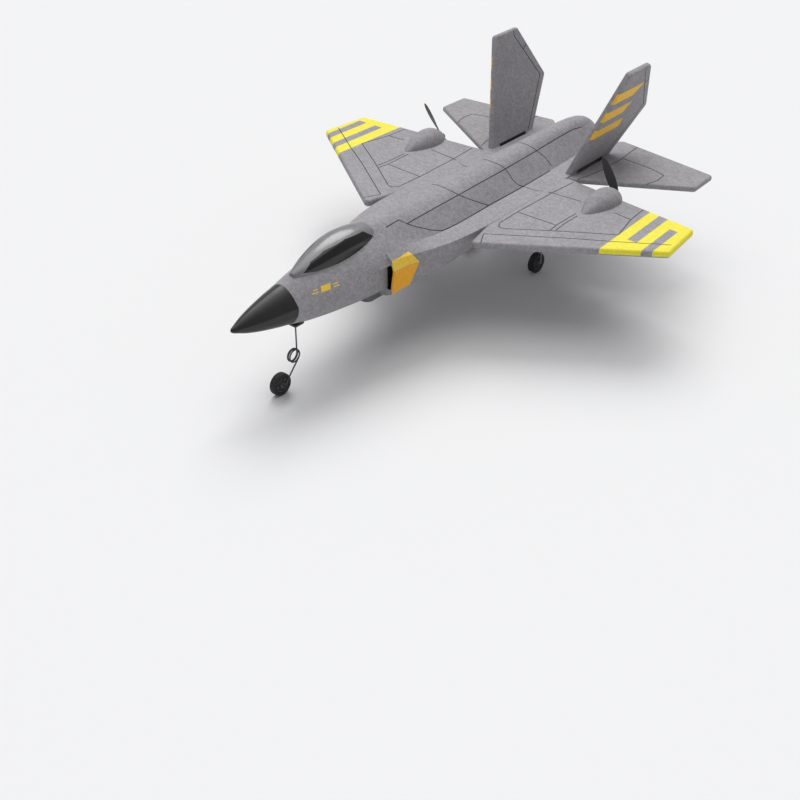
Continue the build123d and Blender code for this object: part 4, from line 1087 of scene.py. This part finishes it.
class JET_OT_propellers(bpy.types.Operator):
    """Builds the two twisted propellers on their hubs, and the shafts."""

    bl_idname = "jet.propellers"
    bl_label = "Propellers"

    def execute(self, context):
        for side, sign in SIDES:
            low, high = box_mm("propeller_" + side)
            shaft_low, shaft_high = box_mm("motor_shaft_" + side)
            centre = (shaft_low + shaft_high) / 2
            centre[1] = (low[1] + high[1]) / 2
            half = (high[1] - low[1]) / 2
            bore = 0.52
            hub = [(-half, bore), (-half, 1.9), (-half + 0.5, 2.45), (-0.6, 2.6), (half - 1.6, 2.5),
                   (half - 0.5, 2.1), (half, 1.3), (half, bore)]
            grids = [turned(hub, centre, (0, 1, 0), 48, True)]
            for turn in (0.0, 180.0):
                grids.append(blade_grid(sign, PROP_ANGLES[side] + turn, centre, sizes().blade_thick / MM))
            piece("prop_" + side, grids, "propeller_" + side, LIBRARY["plastic_dark"], 40)
            skin("prop_shaft_" + side, "motor_shaft_" + side, LIBRARY["steel"], angle=50)
        return {"FINISHED"}


class JET_OT_motors(bpy.types.Operator):
    """Turns the motor cans with their crimped rings and dresses their seats, caps and leads."""

    bl_idname = "jet.motors"
    bl_label = "Motors"

    def execute(self, context):
        for side, _ in SIDES:
            low, high = box_mm("motor_can_" + side)
            centre = (low + high) / 2
            half = (high[1] - low[1]) / 2
            wall = (high[0] - low[0]) / 2 - 0.02
            profile = [
                (-half, AXLE_BORE), (-half, wall - 0.38), (-half + 0.4, wall), (-half + 3.0, wall),
                (-half + 3.2, wall - 0.1), (-half + 3.6, wall - 0.1), (-half + 3.8, wall),
                (half - 0.5, wall), (half - 0.1, wall - 0.43), (half - 0.1, 2.3), (half - 0.35, 2.2),
                (half - 0.35, 1.5), (half, 1.4), (half, AXLE_BORE),
            ]
            piece("can_" + side, [turned(profile, centre, (0, 1, 0), 64, True)],
                  "motor_can_" + side, LIBRARY["steel"], 30)
            skin("motor_sleeve_" + side, "motor_seat_" + side, LIBRARY["plastic_dark"], angle=40)
            skin("motor_rear_cap_" + side, "motor_cap_" + side, LIBRARY["plastic_white"], angle=40)
            skin("motor_wires_" + side, "motor_leads_" + side, LIBRARY["wire_red"], angle=60)
        return {"FINISHED"}


class JET_OT_control_box(bpy.types.Operator):
    """Dresses the belly box, its sliding hatch, switch, socket and electronics."""

    bl_idname = "jet.control_box"
    bl_label = "Control box"

    def execute(self, context):
        for node in ("control_box", "control_box_lid", "battery_hatch", "power_switch_knob",
                     "charge_port", "status_light", "battery_pack", "power_switch_body"):
            skin("dressed_" + node, node, finish_of(node), angle=30)
        return {"FINISHED"}


FLOOR_HALF = 40.0
FLOOR_TONE = (0.82, 0.82, 0.825, 1)
# Each light: its name, the direction it comes from, its strength and its width in degrees.
SUNS = (("key", (-0.55, 0.75, 1.15), 1.5, 38.0), ("overhead", (-0.2, 0.1, 1.0), 1.25, 70.0))
SURROUND_TONE = (0.97, 0.98, 1.0, 1)
SURROUND_LIGHT = 0.33
SURROUND_SEEN = 0.50
CAMERA_PLACE = (0.4962, -0.6139, 0.4608)
CAMERA_TURN = math.radians(40.6)
CAMERA_RISE = math.radians(34.7)
CAMERA_LENS = 58.5


class JET_OT_stage(bpy.types.Operator):
    """Lays the pale floor, the soft lights and the camera."""

    bl_idname = "jet.stage"
    bl_label = "Stage"

    def execute(self, context):
        self.floor()
        self.lights()
        self.camera()
        return {"FINISHED"}

    def floor(self):
        """A wide flat pale sheet under the wheels."""
        mesh = bpy.data.meshes.new("floor")
        signs = ((-1, -1), (1, -1), (1, 1), (-1, 1))
        corners = [(FLOOR_HALF * x, FLOOR_HALF * y, 0) for x, y in signs]
        mesh.from_pydata(corners, [], [(0, 1, 2, 3)])
        obj = bpy.data.objects.new("floor", mesh)
        bpy.context.scene.collection.objects.link(obj)
        material, _, shader, _ = blank_material("Floor pale")
        shader.inputs["Base Color"].default_value = FLOOR_TONE
        shader.inputs["Roughness"].default_value = 0.8
        mesh.materials.append(material)

    def lights(self):
        """A soft key from behind the right wing, a wide light overhead and a pale surround."""
        for name, place, power, spread in SUNS:
            data = bpy.data.lights.new(name, "SUN")
            data.energy = power
            data.angle = math.radians(spread)
            obj = bpy.data.objects.new(name, data)
            bpy.context.scene.collection.objects.link(obj)
            obj.rotation_euler = Vector(place).to_track_quat("Z", "Y").to_euler()
        world = bpy.data.worlds.new("studio")
        bpy.context.scene.world = world
        world.use_nodes = True
        tree = world.node_tree
        back = tree.nodes["Background"]
        back.inputs["Color"].default_value = SURROUND_TONE
        seen = put(tree, "ShaderNodeLightPath", {}).outputs["Is Camera Ray"]
        level = scaled(tree, seen, SURROUND_SEEN, SURROUND_LIGHT)
        tree.links.new(level, back.inputs["Strength"])
        bpy.context.scene.view_settings.view_transform = "Standard"

    def camera(self):
        """A camera off the left of the nose, looking down on the aircraft."""
        level = math.cos(CAMERA_RISE)
        back = Vector((math.sin(CAMERA_TURN) * level, -math.cos(CAMERA_TURN) * level, math.sin(CAMERA_RISE)))
        data = bpy.data.cameras.new("camera")
        data.lens = CAMERA_LENS
        data.sensor_width = 36.0
        data.clip_start = 0.02
        obj = bpy.data.objects.new("camera", data)
        bpy.context.scene.collection.objects.link(obj)
        obj.location = CAMERA_PLACE
        obj.rotation_mode = "QUATERNION"
        obj.rotation_quaternion = (-back).to_track_quat("-Z", "Y")
        bpy.context.scene.camera = obj


class JET_PT_panel(bpy.types.Panel):
    """Shows the sizes, the colours and a button for each step in the sidebar."""

    bl_idname = "JET_PT_panel"
    bl_label = "Foam Jet"
    bl_space_type = "VIEW_3D"
    bl_region_type = "UI"
    bl_category = "Foam Jet"

    def draw(self, context):
        for group in (context.scene.jet_sizes, context.scene.jet_colours):
            for key in group.bl_rna.properties.keys():
                if key not in ("rna_type", "name"):
                    self.layout.prop(group, key)
        for step in STEPS:
            self.layout.operator(step.bl_idname)


STEPS = (
    JET_OT_materials,
    JET_OT_airframe,
    JET_OT_nose,
    JET_OT_wheels,
    JET_OT_legs,
    JET_OT_propellers,
    JET_OT_motors,
    JET_OT_control_box,
    JET_OT_stage,
)
CLASSES = (JetSizes, JetColours, *STEPS, JET_PT_panel)


def register():
    """Registers the classes and puts the sizes and colours on the scene."""
    for cls in CLASSES:
        bpy.utils.register_class(cls)
    bpy.types.Scene.jet_sizes = bpy.props.PointerProperty(type=JetSizes)
    bpy.types.Scene.jet_colours = bpy.props.PointerProperty(type=JetColours)


def unregister():
    """Takes the classes and the scene's properties away."""
    del bpy.types.Scene.jet_colours
    del bpy.types.Scene.jet_sizes
    for cls in reversed(CLASSES):
        bpy.utils.unregister_class(cls)


def main():
    register()
    for step in STEPS:
        kind, name = step.bl_idname.split(".")
        getattr(getattr(bpy.ops, kind), name)()


if __name__ == "__main__":
    main()
